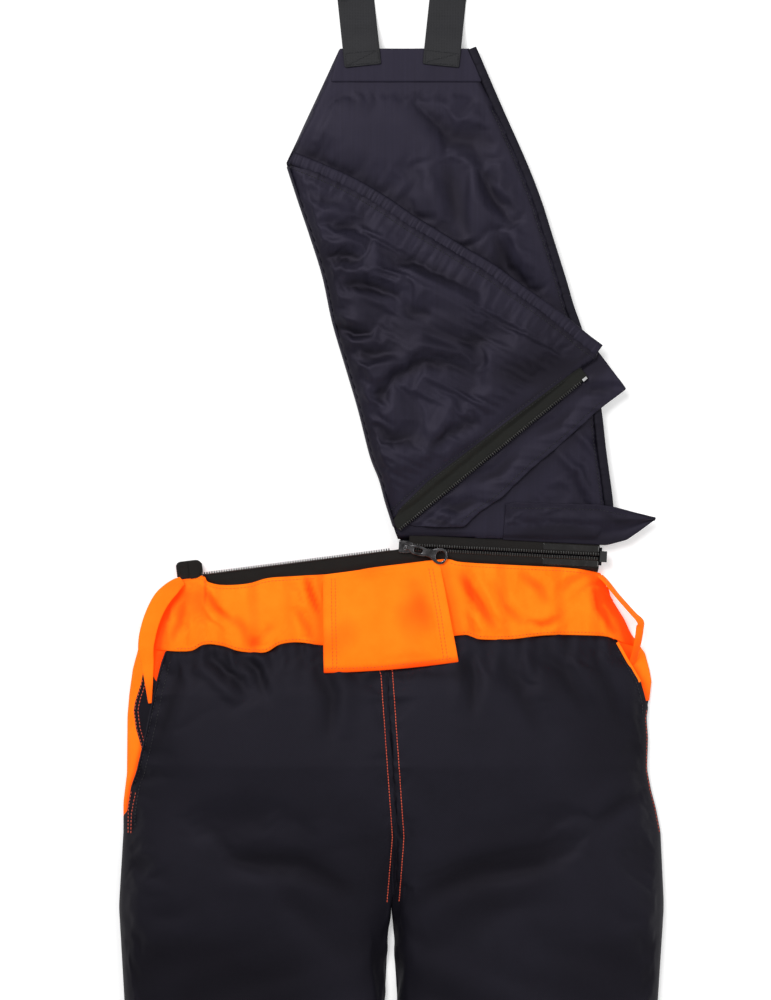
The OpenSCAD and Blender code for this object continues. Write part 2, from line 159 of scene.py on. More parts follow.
def spaced(path, step):
    """The same path, with its points the same distance apart."""
    path = np.array(path, float)
    length = np.r_[0, np.cumsum(np.linalg.norm(np.diff(path, axis=0), axis=1))]
    at = np.linspace(0, length[-1], max(2, int(round(length[-1] / step)) + 1))
    return np.stack([np.interp(at, length, c) for c in path.T], axis=1)


def turned(degrees, x, y):
    """A point or points turned about the origin."""
    a = math.radians(degrees)
    return np.array([x * math.cos(a) - y * math.sin(a), x * math.sin(a) + y * math.cos(a)])


# ---------------------------------------------------------------- mesh makers
def make(name, points, faces, material):
    """A smooth-shaded mesh object from points in millimetres."""
    mesh = bpy.data.meshes.new(name)
    mesh.from_pydata((np.asarray(points) * MM).tolist(), [], faces)
    mesh.validate()
    mesh.polygons.foreach_set("use_smooth", [True] * len(mesh.polygons))
    mesh.materials.append(material)
    obj = bpy.data.objects.new(name, mesh)
    scene.collection.objects.link(obj)
    return obj


def finish_piece(obj, body, nodes):
    """Says which body a piece moves with and which CAD nodes it replaces."""
    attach(obj, body)
    if nodes:
        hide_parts(*nodes)
    return obj


def grid_faces(rows, cols, wrap=False):
    """Four-sided faces between neighbouring rows of points. wrap joins each row's end to its start."""
    last = cols if wrap else cols - 1
    return [
        (j * cols + i, j * cols + (i + 1) % cols, (j + 1) * cols + (i + 1) % cols, (j + 1) * cols + i)
        for j in range(rows - 1)
        for i in range(last)
    ]


def tube_faces(rings, sides):
    """Faces of a tube made of rings of points, closed by a flat face at each end."""
    count = rings * sides
    ends = [tuple(range(sides))[::-1], tuple(range(count - sides, count))]
    return grid_faces(rings, sides, wrap=True) + ends


def thicken(obj, thickness, offset=-1.0):
    m = obj.modifiers.new("thickness", "SOLIDIFY")
    m.thickness = thickness * MM
    m.offset = offset
    m.use_even_offset = False


def refine(obj):
    m = obj.modifiers.new("smooth", "SUBSURF")
    m.levels = m.render_levels = 1


def recalculated(obj, weld=False):
    """Turns every face outwards. With weld, points in the same place become one first."""
    mesh = bmesh.new()
    mesh.from_mesh(obj.data)
    if weld:
        bmesh.ops.remove_doubles(mesh, verts=mesh.verts, dist=0.002 * MM)
    bmesh.ops.recalc_face_normals(mesh, faces=mesh.faces)
    mesh.to_mesh(obj.data)
    mesh.free()
    return obj


def grid_cloth(name, x, y, z, material, thickness, finer=True):
    """A sheet from three arrays of the same shape, rows by columns, seen from above with its face up."""
    rows, cols = x.shape
    points = np.stack([x, y, z], axis=-1).reshape(-1, 3)
    obj = make(name, points, grid_faces(rows, cols), material)
    if sum(p.normal.z * p.area for p in obj.data.polygons) < 0:
        obj.data.flip_normals()
    obj["grid"] = (rows, cols)
    thicken(obj, thickness)
    if finer:
        refine(obj)
    return obj


def ribbon(name, path, width, material, thickness, across=None, cols=7, crown=0.0):
    """A flat band that follows a path of 3-D points. across gives its sideways direction at each point."""
    path = np.array(path, float)
    along = unit(np.gradient(path, axis=0))
    if across is None:
        across = np.cross(along, [0, 0, 1.0])
    across = unit(np.array(across, float))
    up = np.cross(across, along)
    width = np.broadcast_to(width, len(path))
    t = np.linspace(-0.5, 0.5, cols)
    points = (
        path[:, None]
        + across[:, None] * (t[None, :, None] * width[:, None, None])
        + up[:, None] * (crown * (1 - (2 * t) ** 2))[None, :, None]
    )
    obj = make(name, points.reshape(-1, 3), grid_faces(len(path), cols), material)
    obj["grid"] = (len(path), cols)
    thicken(obj, thickness, offset=0.0)
    refine(obj)
    return obj


def tube(path, radius, sides=6):
    """Points and faces of a round tube along a path."""
    path = np.array(path, float)
    along = np.gradient(path, axis=0)
    along /= np.linalg.norm(along, axis=1)[:, None] + 1e-12
    helper = np.where(np.abs(along[:, 2:3]) > 0.9, [[1.0, 0, 0]], [[0, 0, 1.0]])
    a = np.cross(along, helper)
    a /= np.linalg.norm(a, axis=1)[:, None]
    b = np.cross(along, a)
    radius = np.broadcast_to(radius, len(path))[:, None, None]
    turn = np.linspace(0, 2 * math.pi, sides, endpoint=False)
    ring = a[:, None] * np.cos(turn)[None, :, None] + b[:, None] * np.sin(turn)[None, :, None]
    return (path[:, None] + radius * ring).reshape(-1, 3), tube_faces(len(path), sides)


def joined(parts):
    """Several (points, faces) as one."""
    points, faces, count = [], [], 0
    for p, f in parts:
        points.append(p)
        faces += [tuple(i + count for i in face) for face in f]
        count += len(p)
    return np.vstack(points), faces


def outline_mesh(outline, spacing):
    """Points and triangles that fill an outline evenly, and each point's distance to the outline."""
    border = spaced(np.vstack([outline, outline[:1]]), spacing)[:-1]
    low, high = border.min(axis=0), border.max(axis=0)
    inner = []
    for j, y in enumerate(np.arange(low[1], high[1], spacing * 0.866)):
        for x in np.arange(low[0], high[0], spacing):
            inner.append((x + (j % 2) * spacing / 2, y))
    inner = np.array(inner)
    ring = np.vstack([border, border[:1]])
    d = path_distance(inner[:, 0], inner[:, 1], ring)[0]
    inner = inner[inside(inner, border) & (d > 0.6 * spacing)]
    points = np.vstack([border, inner])
    edges = [(i, (i + 1) % len(border)) for i in range(len(border))]
    found = delaunay_2d_cdt([Vector(p) for p in points.tolist()], edges, [], 1, 1e-4)
    points = np.array([tuple(p) for p in found[0]])
    d = path_distance(points[:, 0], points[:, 1], ring)[0]
    return points, [tuple(f) for f in found[2]], np.where(d < 1e-3, 0, d)


def inside(points, polygon):
    """Which points lie inside a polygon, by counting the sides to their right."""
    x, y = points.T
    a, b = polygon, np.roll(polygon, -1, axis=0)
    hit = np.zeros(len(points), bool)
    for (x0, y0), (x1, y1) in zip(a, b):
        if y0 != y1:
            hit ^= ((y0 > y) != (y1 > y)) & (x < (x1 - x0) * (y - y0) / (y1 - y0) + x0)
    return hit


def pad_mesh(name, outline, spacing, top, bottom, rim, material, level=None):
    """A padded piece: an upper and a lower face that round over into each other within rim of the outline.

    top, bottom, rim and level are functions of x and y. level is the height at which the faces meet.
    """
    points, triangles, d = outline_mesh(outline, spacing)
    x, y = points.T
    close = np.clip(d / rim(x, y), 0, 1)
    swell = np.sqrt(1 - (1 - close) ** 2)
    high, low = top(x, y), bottom(x, y)
    middle = level(x, y) if level else (high + low) / 2
    upper = np.column_stack([x, y, middle + (high - middle) * swell])
    lower = np.column_stack([x, y, middle - (middle - low) * swell])
    edge = d == 0
    index = np.where(edge, np.arange(len(x)), len(x) + np.cumsum(~edge) - 1)
    faces = [tuple(t) for t in triangles] + [tuple(index[list(t)][::-1]) for t in triangles]
    return make(name, np.vstack([upper, lower[~edge]]), faces, material)


def store_painted_shade(obj, values):
    """Keeps each point's painted shade, from 0 to 1: shade painted into folds, creases, hollows and where other
    parts keep the light off. The cloth materials darken there.
    """
    layer = obj.data.attributes.new("painted_shade", "FLOAT", "POINT").data
    layer.foreach_set("value", np.clip(values, 0, 1).astype("f"))


def shade(obj, painted_shade):
    """Works out that painted shade for each point from its place in plan."""
    points = np.array([tuple(v.co) for v in obj.data.vertices]) / MM
    store_painted_shade(obj, painted_shade(points[:, 0], points[:, 1]))
    return obj


SIM_FRAMES = 16


def settle(obj, grow, cap, held, pressure=0.0):
    """Runs Blender's cloth on a piece that is too big for its place, by the share grow, and keeps its folds.

    held(x, y, z) is how firmly each point is held, from 0 to 1. No point moves further than cap millimetres.
    """
    start = np.array([tuple(v.co) for v in obj.data.vertices])
    firm = np.clip(held(*(start.T / MM)), 0, 1)
    if "grid" in obj:
        inner = np.ones(tuple(obj["grid"]))
        for ring, share in ((0, 0.0), (1, 0.5)):
            for line in (inner[ring], inner[-1 - ring], inner[:, ring], inner[:, -1 - ring]):
                np.minimum(line, share, out=line)
        firm = np.maximum(firm, 1 - inner.ravel())
    group = obj.vertex_groups.new(name="held")
    for i, amount in enumerate(firm.tolist()):
        group.add([i], amount, "REPLACE")
    others = list(obj.modifiers)
    for m in others:
        m.show_viewport = False
    sim = obj.modifiers.new("cloth", "CLOTH")
    rules = sim.settings
    rules.quality = 5
    rules.mass = 0.15
    rules.tension_stiffness = rules.compression_stiffness = 15
    rules.shear_stiffness = 5
    rules.bending_stiffness = 0.2
    rules.air_damping = 2
    rules.effector_weights.gravity = 0
    rules.shrink_min = -grow
    rules.vertex_group_mass = group.name
    if pressure:
        rules.use_pressure = True
        rules.uniform_pressure_force = pressure
    sim.collision_settings.use_collision = False
    sim.point_cache.frame_start, sim.point_cache.frame_end = 1, SIM_FRAMES
    for number in range(1, SIM_FRAMES + 1):
        scene.frame_set(number)
    shape = obj.evaluated_get(bpy.context.evaluated_depsgraph_get())
    mesh = shape.to_mesh()
    move = (np.array([tuple(v.co) for v in mesh.vertices]) - start) / MM
    shape.to_mesh_clear()
    obj.modifiers.remove(sim)
    obj.vertex_groups.remove(group)
    move = np.where(np.isfinite(move), move, 0) * (1 - firm)[:, None]
    far = np.maximum(np.linalg.norm(move, axis=1), 1e-6)
    move *= (cap * np.tanh(far / cap) / far)[:, None]
    obj.data.vertices.foreach_set("co", (start + move * MM).ravel())
    obj.data.update()
    # Points that the cloth let sink get more painted shade.
    if "painted_shade" in obj.data.attributes:
        layer = obj.data.attributes["painted_shade"].data
        values = np.zeros(len(start), "f")
        layer.foreach_get("value", values)
        layer.foreach_set("value", np.clip(values + 0.4 * np.clip(-move[:, 2] / cap, 0, 1), 0, 1).astype("f"))
    for m in others:
        m.show_viewport = True
    scene.frame_set(1)
    return obj


class Cloth:
    """The upper face of some pieces, to lay stitches and trim on."""

    def __init__(self, *objects):
        graph = bpy.context.evaluated_depsgraph_get()
        graph.update()
        parts = []
        for obj in objects:
            shape = obj.evaluated_get(graph)
            mesh = shape.to_mesh()
            points = np.array([tuple(obj.matrix_world @ v.co) for v in mesh.vertices]) / MM
            parts.append((points, [tuple(p.vertices) for p in mesh.polygons]))
            shape.to_mesh_clear()
        points, faces = joined(parts)
        self.tree = BVHTree.FromPolygons(points.tolist(), faces)

    def height(self, x, y, missing=None):
        """How high the cloth is at a point, or missing where there is none."""
        hit = self.tree.ray_cast(Vector((x, y, 200.0)), Vector((0, 0, -1)))
        return hit[0].z if hit[0] is not None else missing

    def heights(self, x, y, missing):
        """The same for two arrays."""
        return np.array([self.height(a, b, missing) for a, b in zip(x.ravel(), y.ravel())]).reshape(x.shape)

    def lay(self, path):
        """A path seen from above, brought to the cloth's height."""
        path = np.array(path, float)
        z = [self.height(x, y) for x, y in path[:, :2]]
        known = [i for i, v in enumerate(z) if v is not None]
        if not known:
            raise ValueError(f"no cloth under the path that starts at {path[0]}")
        z = np.interp(range(len(z)), known, [z[i] for i in known])
        return np.column_stack([path[:, :2], z])


def stitches(name, rows, cloth, material, pitch=3.4, length=2.5, radius=0.34):
    """Rows of thread stitches on a cloth. Each row is a path seen from above."""
    parts = []
    for row in rows:
        line = spaced(cloth.lay(spaced(row, 1.2)), 0.6)
        run = int(round(pitch / 0.6))
        for i in range(0, len(line) - run, run):
            piece = line[i : i + max(3, int(round(length / 0.6)) + 1)].copy()
            bow = np.sin(np.linspace(0, math.pi, len(piece)))
            piece[:, 2] += radius * (1.1 * bow - 0.35)
            piece[:, 0] += rng.uniform(-0.12, 0.12)
            parts.append(tube(piece, radius * (0.55 + 0.45 * bow), 6))
    return make(name, *joined(parts), material)


def sew(name, rows, cloth, thread, body, slot, **size):
    """Stitches as a piece of their own. They replace no CAD node."""
    finish_piece(stitches(name, rows, cloth, thread, **size), body, [])


# ---------------------------------------------------------------- materials
def blank(name):
    """A new material, with its node tree and its shader."""
    material = bpy.data.materials.new(name)
    material.use_nodes = True
    return material, material.node_tree, material.node_tree.nodes["Principled BSDF"]


def feed(tree, node, inputs):
    """Gives each input socket its number or colour, or links it to the output socket given for it."""
    for socket, value in inputs.items():
        if isinstance(value, bpy.types.NodeSocket):
            tree.links.new(value, node.inputs[socket])
        else:
            node.inputs[socket].default_value = value


def add(tree, kind, inputs, output, **settings):
    """Adds a node and returns one of its output sockets."""
    node = tree.nodes.new("ShaderNode" + kind)
    for setting, value in settings.items():
        setattr(node, setting, value)
    feed(tree, node, inputs)
    return node.outputs[output]


def ramp(tree, amount, *stops):
    """A colour that runs between two stops, each (position, colour)."""
    node = tree.nodes.new("ShaderNodeValToRGB")
    for element, (position, colour) in zip(node.color_ramp.elements, stops):
        element.position = position
        element.color = (*colour, 1)
    feed(tree, node, {"Fac": amount})
    return node.outputs["Color"]


def mixed(tree, amount, below, above, blend="MIX"):
    """Two colours mixed. A mix node's sockets 6 and 7 are its colours, and its output 2 is theirs."""
    inputs = {"Factor": amount, 6: below, 7: above}
    return add(tree, "Mix", inputs, 2, data_type="RGBA", blend_type=blend)


def bumped(tree, height, strength, distance):
    return add(tree, "Bump", {"Strength": strength, "Distance": distance, "Height": height}, "Normal")


def spread(tree, amount, low, high):
    return add(tree, "MapRange", {"To Min": low, "To Max": high, "Value": amount}, "Result")


def cloth_material(
    name, dark, light, rough=0.7, weave=0.9, weave_depth=0.25, twill=True, patch=0.02, glow=None,
    specular=0.5, streak=0.0, deep=None, tint=(1, 1, 1),
):
    """Woven cloth: two shades in soft patches, crossed threads weave mm apart, and a little fuzz."""
    material, tree, shader = blank(name)
    place = add(tree, "TexCoord", {}, "Object")
    patches = add(
        tree, "TexNoise", {"Vector": place, "Scale": 1 / patch, "Detail": 5, "Roughness": 0.6}, "Fac",
    )
    colour = ramp(tree, patches, (0.3, dark), (0.7, light))
    thread = {"Vector": place, "Scale": 0.314 / (weave * MM), "Distortion": 0.6, "Detail": 1}
    one_way = add(tree, "TexWave", thread, "Fac", bands_direction="DIAGONAL" if twill else "X")
    other_way = add(tree, "TexWave", thread, "Fac", bands_direction="Y")
    woven = add(tree, "Math", {0: one_way, 1: other_way}, 0, operation="ADD")
    fuzz = add(tree, "TexNoise", {"Vector": place, "Scale": 900}, "Fac")
    relief = add(tree, "Math", {0: fuzz, 1: 0.6, 2: woven}, 0, operation="MULTIPLY_ADD")
    if streak:
        stretched = add(tree, "Mapping", {"Vector": place, "Scale": (420, 9, 60)}, "Vector")
        lines = add(tree, "TexNoise", {"Vector": stretched, "Scale": 1, "Detail": 3}, "Fac")
        colour = mixed(tree, streak, colour, lines, "OVERLAY")
    # deep is the colour of painted shade, mixed in as far as each point's stored shade goes.
    if deep:
        painted_shade = add(tree, "Attribute", {}, "Fac", attribute_name="painted_shade")
        colour = mixed(tree, painted_shade, colour, (*deep, 1))
    feed(tree, shader, {
        "Base Color": colour, "Normal": bumped(tree, relief, weave_depth, 0.0002),
        "Roughness": spread(tree, patches, rough - 0.08, rough + 0.08),
        "Specular IOR Level": specular, "Specular Tint": (*tint, 1),
    })
    # glow is painted light: an even emission, so that the cloth stays bright in shade.
    if glow:
        feed(tree, shader, {"Emission Color": (*glow, 1), "Emission Strength": 1})
    return material


def hard_material(name, dark, light, rough=0.4, metal=0.0, grain=0.02, specular=0.5, coat=0.0):
    """Moulded plastic or metal: slight mottling in shade and gloss, and fine surface grain."""
    material, tree, shader = blank(name)
    place = add(tree, "TexCoord", {}, "Object")
    mottle = add(tree, "TexNoise", {"Vector": place, "Scale": 1 / grain, "Detail": 6}, "Fac")
    fine = add(tree, "TexNoise", {"Vector": place, "Scale": 1500}, "Fac")
    feed(tree, shader, {
        "Base Color": ramp(tree, mottle, (0.35, dark), (0.65, light)),
        "Normal": bumped(tree, fine, 0.1, 0.0001),
        "Roughness": spread(tree, mottle, rough - 0.1, rough + 0.12), "Metallic": metal,
        "Specular IOR Level": specular, "Coat Weight": coat,
    })
    return material


# deep, here and in the orange, is the colour of the painted shade.
NAVY = cloth_material(
    "navy_twill", (0.0052, 0.0050, 0.0080), (0.0078, 0.0074, 0.0118), rough=0.62, patch=0.05, specular=0.2,
    deep=(0.0016, 0.0014, 0.0026), tint=(0.85, 0.78, 1.0),
)
SATIN = cloth_material(
    "navy_satin", (0.0078, 0.0070, 0.0135), (0.0112, 0.0100, 0.0190), rough=0.58, weave=0.5,
    weave_depth=0.12, twill=False, patch=0.04, streak=0.35, specular=0.28, deep=(0.0015, 0.0012, 0.0028),
    tint=(0.82, 0.74, 1.0),
)
# Hi-vis orange: its glow is painted light that keeps it bright in shade, standing in for fluorescence, and its
# deep colour is its painted shade.
ORANGE = cloth_material(
    "orange_twill", (0.95, 0.185, 0.004), (1.0, 0.225, 0.008), rough=0.8, weave=0.8,
    glow=(0.34, 0.026, 0.001), patch=0.03, specular=0.08, deep=(0.85, 0.05, 0.0015),
)
# The thread's glow is painted light as well.
ORANGE_THREAD = cloth_material(
    "orange_thread", (0.5, 0.05, 0.025), (0.7, 0.11, 0.05), rough=0.6, glow=(0.08, 0.01, 0.004),
)
DARK_THREAD = cloth_material("orange_stitch", (0.5, 0.09, 0.005), (0.62, 0.12, 0.008), rough=0.7)
NAVY_THREAD = cloth_material("navy_thread", (0.004, 0.004, 0.006), (0.009, 0.009, 0.013), rough=0.5)
TAPE = cloth_material(
    "zip_tape", (0.0045, 0.0034, 0.0028), (0.0080, 0.0060, 0.0048), rough=0.72, weave=0.7, weave_depth=0.5,
    twill=False, specular=0.25,
)
OLIVE_TAPE = cloth_material(
    "flap_tape", (0.0055, 0.0058, 0.0045), (0.0088, 0.0092, 0.0070), rough=0.7, weave=0.7, weave_depth=0.5,
    twill=False, specular=0.25
)
ELASTIC = cloth_material(
    "woven_elastic", (0.006, 0.006, 0.008), (0.012, 0.012, 0.015), rough=0.75, weave=1.6, weave_depth=0.8,
    twill=False
)
WHITE_ELASTIC = cloth_material(
    "white_elastic", (0.6, 0.6, 0.58), (0.72, 0.72, 0.7), weave=1.6, weave_depth=0.8,
)
MESH_LINING = cloth_material(
    "mesh_lining", (0.012, 0.012, 0.017), (0.02, 0.02, 0.028), rough=0.8, weave=1.8, weave_depth=0.9
)
PAD_CLOTH = cloth_material("pad_cloth", (0.5, 0.36, 0.06), (0.62, 0.47, 0.1), weave=1.5, weave_depth=0.8)
PLASTIC = hard_material("black_plastic", (0.010, 0.010, 0.011), (0.017, 0.017, 0.018), rough=0.38)
TEETH = hard_material(
    "zip_teeth", (0.016, 0.015, 0.014), (0.036, 0.034, 0.033), rough=0.3, grain=0.004, specular=0.6,
)
NICKEL = hard_material(
    "dark_nickel", (0.07, 0.067, 0.07), (0.17, 0.165, 0.17), rough=0.2, metal=1.0, grain=0.006,
)
SILVER = hard_material("silver", (0.6, 0.6, 0.6), (0.8, 0.8, 0.8), rough=0.3, metal=1.0)
FILM = hard_material(
    "clear_film", (0.005, 0.0045, 0.004), (0.009, 0.008, 0.0075), rough=0.2, coat=0.6, grain=0.01,
)


# ---------------------------------------------------------------- the trousers' shape
HEM_Y = round(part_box("cuff_left")[0][1] / MM)
CROTCH_Y = -345
SEAM_Z = 3.0
LEFT_EDGE = [
    (HEM_Y, 235), (-700, 256), (-500, 266), (CROTCH_Y, 275), (-270, 270.5), (-241, 270.5), (-228, 269),
    (-212, 267), (-153, 266.5), (-130, 264.5), (-105, 261), (-80, 254), (-52, 243), (-25, 226), (-8, 218),
]
RIGHT_EDGE = [
    (HEM_Y, 235), (-700, 256), (-500, 266), (CROTCH_Y, 276), (-270, 272.5), (-247, 268), (-228, 263),
    (-207, 259), (-175, 260), (-155, 258.5), (-145, 260), (-136, 261.5), (-118, 263.5), (-107, 261.5),
    (-90, 257), (-70, 243), (-55, 236), (-36, 224), (-8, 212),
]
INNER_EDGE = [(HEM_Y, 20), (-600, 14), (CROTCH_Y - 30, 3), (CROTCH_Y, 0)]
CROWN = [
    (HEM_Y, 24), (-800, 32), (-500, 40), (-300, 46), (-200, 48), (-130, 40), (-85, 30), (-40, 21), (-7, 13.6),
]
SEAT_LEFT = [
    (-250, 266), (-223, 261.6), (-208, 256), (-186, 250.5), (-167, 246), (-130, 238.5), (-99, 231),
    (-84, 226),
]
SEAT_RIGHT = [(-140, 258), (-118, 251.5), (-95, 238), (-75, 227), (-60, 222)]
BAND_LOW = [
    (-262, -84), (-226, -87), (-201, -87), (-191, -82), (-181, -80), (-166, -82.5), (-151, -87),
    (-126, -88), (-111, -80), (-91, -78), (-66, -81), (0, -80), (69, -71), (79, -72), (89, -75), (119, -75),
    (159, -71), (209, -72), (224, -75), (236, -80), (262, -88),
]
BAND_TOP = [
    (-226, -25), (-214, -14.5), (-208, -10.8), (-190, -10.8), (-185, -16.5), (-170, -20), (-144, -18.5),
    (-124, -13), (-96, -11), (-50, -8), (-22, -3), (9, 1), (54, 6), (71, 3), (123, 0), (180, -3), (211, -8),
    (224, -12),
]


BAND_LOW, BAND_TOP = [[tuple(p) for p in smooth_path(line, 2.0)] for line in (BAND_LOW, BAND_TOP)]


def half_width(x, y):
    return np.where(x < 0, lookup(y, LEFT_EDGE), lookup(y, RIGHT_EDGE))


def body_height(x, y):
    """The back of the trousers: one arch over the seat, and one over each leg."""
    wide, inner = half_width(x, y), lookup(y, INNER_EDGE)
    legs = 1 - smooth(CROTCH_Y - 30, -230, y)
    seat = arch(x / wide)
    leg = arch(2 * (np.abs(x) - inner) / (wide - inner) - 1)
    return SEAM_Z + (lookup(y, CROWN) - SEAM_Z) * ((1 - legs) * seat + legs * leg)


SEAT_CREASES = [
    ([(-186, -88), (-168, -104), (-140, -128)], 7, 3.2, 0.6, -0.5),
    ([(-150, -92), (-133, -105), (-128, -128)], 5.5, 3.4, 0.5, 0.4),
    ([(-206, -92), (-222, -140), (-236, -190)], 8, 2.2, 0.5, 0.3),
    ([(-70, -96), (-60, -130), (-62, -175)], 8, 3.0, 0.45, 0.5),
    ([(78, -84), (83, -112), (80, -150)], 7, 3.6, 0.45, -0.3),
    ([(100, -82), (128, -122), (150, -170)], 10, 2.6, 0.7, 0.4),
    ([(150, -76), (172, -108), (196, -150)], 9, 2.4, 0.7, 0.4),
    ([(196, -78), (214, -112), (228, -160)], 8, 2.2, 0.6, 0.3),
    ([(200, -262), (232, -238), (255, -232)], 9, 2.6, 0.5, 0.3),
    ([(-30, -330), (-90, -300), (-170, -296)], 12, 3.0, 0.6, 0.2),
    ([(26, -330), (90, -306), (160, -300)], 12, 2.6, 0.6, 0.2),
]


def seat_wrinkles(x, y):
    """Gathers under the waistband, soft creases over the seat, and wandering folds down the legs."""
    below = np.clip(lookup(x, BAND_LOW) - y, 0, None)
    gather = 1.7 * ripple(x, 27, 1.3) * bell(below, 30) + 0.9 * ripple(x, 13, 4.1) * bell(below, 13)
    near_loop = smooth(50, 90, np.abs(x))
    z = gather * near_loop
    z += 3.0 * cloud(x, y, 120, 3.0) * smooth(10, 80, below)
    z += 1.1 * cloud(x, y * 0.6, 38, 8.0) * smooth(20, 120, below)
    z += press(x, y, SEAT_CREASES)
    legs = smooth(-330, -420, y)
    z += legs * 2.6 * ripple(y + 0.35 * np.abs(x), 92, 2.0) * arch((np.abs(x) - 135) / 115)
    edge = 1 - np.abs(x) / half_width(x, y)
    return z * smooth(0.0, 0.10, edge)


def seam_x(y):
    """Where the centre back seam runs."""
    return lookup(y, [(CROTCH_Y, 0), (-320, 5), (-270, 7), (-109, -4), (-60, -5)])


def seat_height(x, y):
    groove = 1.3 * bell(x - seam_x(y), 2.2) * smooth(CROTCH_Y, CROTCH_Y + 20, y)
    return body_height(x, y) + seat_wrinkles(x, y) - groove


def leg_rows():
    """Distances down the back, closer together over the seat."""
    seat_end = 250
    return np.r_[np.arange(0, seat_end, 3.6), np.linspace(seat_end, -HEM_Y - 112, 90)[1:]]


def seat_half(side):
    """One half of the seat with the back of its leg, from under the waistband to the hem."""
    down = leg_rows()
    across = (1 - np.cos(np.linspace(0, math.pi, 84))) / 2
    t, row = np.meshgrid(across, down)
    outer = SEAT_LEFT if side < 0 else SEAT_RIGHT
    y = -80 - row
    x = np.zeros_like(y)
    for _ in range(3):
        edge = lookup(y, outer)
        limit = -250 if side < 0 else -140
        edge = np.where(y < limit, np.abs(half_width(np.full_like(y, side), y)), edge)
        inner = np.where(y > CROTCH_Y, side * seam_x(y), lookup(y, INNER_EDGE))
        x = side * (inner + (edge - inner) * t)
        start = lookup(x, BAND_LOW) + 5
        y = start - row * (start - (HEM_Y + 28)) / down[-1]
    z = seat_height(x, y)
    tucked = smooth(-1.5, 3.5, y - lookup(x, BAND_LOW))
    name = "seat_cloth_left" if side < 0 else "seat_cloth_right"
    obj = grid_cloth(name, x, y, z - 4.0 * tucked, NAVY, thickness=1.0)

    # Painted shade: in creases, gathers and hollows, under the wide loop and the band's edge, along the seam
    # and the sides, and over the left half, as if lit from the right.
    def painted_shade(x, y):
        below = np.clip(lookup(x, BAND_LOW) - y, 0, None)
        out = np.abs(x)
        gathers = np.clip(-ripple(x, 27, 1.3), 0, 1) * bell(below, 26) * smooth(50, 90, out)
        under_loop = bell(out - 70, 7) * bell(y + 105, 16) + 0.8 * bell(y + 109, 5) * smooth(74, 66, out)
        edge = 0.55 * smooth(0.1, 0.0, 1 - out / half_width(x, y))
        hollow = np.clip(-cloud(x, y, 120, 3.0) * 1.2, 0, 0.5)
        creases = np.clip(-press(x, y, SEAT_CREASES) / 3.2, 0, 1)
        lines = 0.7 * bell(below, 3.5) + 0.6 * bell(x - seam_x(y), 2.5)
        return creases + 0.5 * gathers + lines + under_loop + edge + hollow + 0.28 * smooth(-20, -110, x)

    return shade(obj, painted_shade)


BAND_CREASES = [
    ([(-186, -26), (-176, -44), (-158, -58)], 4.0, 3.4, 0.7, -0.5),
    ([(-158, -50), (-146, -66), (-138, -84)], 7.0, 2.8, 0.5, 0.3),
    ([(-118, -58), (-130, -72), (-142, -84)], 6.0, 2.4, 0.5, 0.3),
    ([(-86, -10), (-80, -30), (-72, -52)], 3.6, 4.2, 0.7, 0.5),
    ([(-96, -40), (-86, -60), (-78, -78)], 5.0, 2.2, 0.5, 0.2),
    ([(68, -6), (86, -34), (106, -66)], 7.0, 5.0, 0.6, 0.5),
    ([(72, -40), (80, -58), (86, -74)], 4.0, 2.6, 0.5, 0.2),
    ([(100, -12), (112, -40), (134, -62)], 6.0, 3.4, 0.6, 0.4),
    ([(134, -55), (152, -60), (172, -50)], 4.5, 3.0, 0.7, -0.4),
    ([(128, -6), (150, -24), (158, -40)], 6.5, 2.6, 0.6, 0.4),
    ([(200, -6), (180, -16), (168, -30)], 5.0, 2.2, 0.6, -0.3),
    ([(204, -22), (210, -44), (226, -72)], 4.5, 4.0, 0.5, -0.4),
    ([(-206, -34), (-212, -58), (-222, -80)], 5.0, 3.0, 0.5, 0.4),
]


def up_band(x, y):
    """How far up the waistband a point lies, from 0 to 1."""
    low, top = lookup(x, BAND_LOW), lookup(x, BAND_TOP)
    return np.clip((y - low) / (top - low), 0, 1)


def band_folds(x, y):
    """The elastic draws the waistband into uneven upright folds."""
    v = up_band(x, y)
    z = 2.4 * np.sin(math.pi * v) ** 0.5
    z += 0.9 * ripple(x + 5 * v, 31, 0.7) * (0.6 + 0.4 * np.cos(math.pi * v) ** 2)
    z += 0.45 * ripple(x, 12, 3.3) * bell(v - 1, 0.25) + 0.6 * ripple(x, 14, 5.3) * bell(v, 0.28)
    return z + press(x, y, BAND_CREASES)


def loop_shadow(x, y):
    """Where the side loops keep the light off the hips."""
    left = path_distance(x, y, [(-218, -24), (-229, -44), (-235, -72), (-236, -110)])[0]
    right = path_distance(x, y, [(214, -20), (232, -54), (242, -90)])[0]
    return 0.95 * bell(left, 6.5) + 0.6 * bell(right, 7)


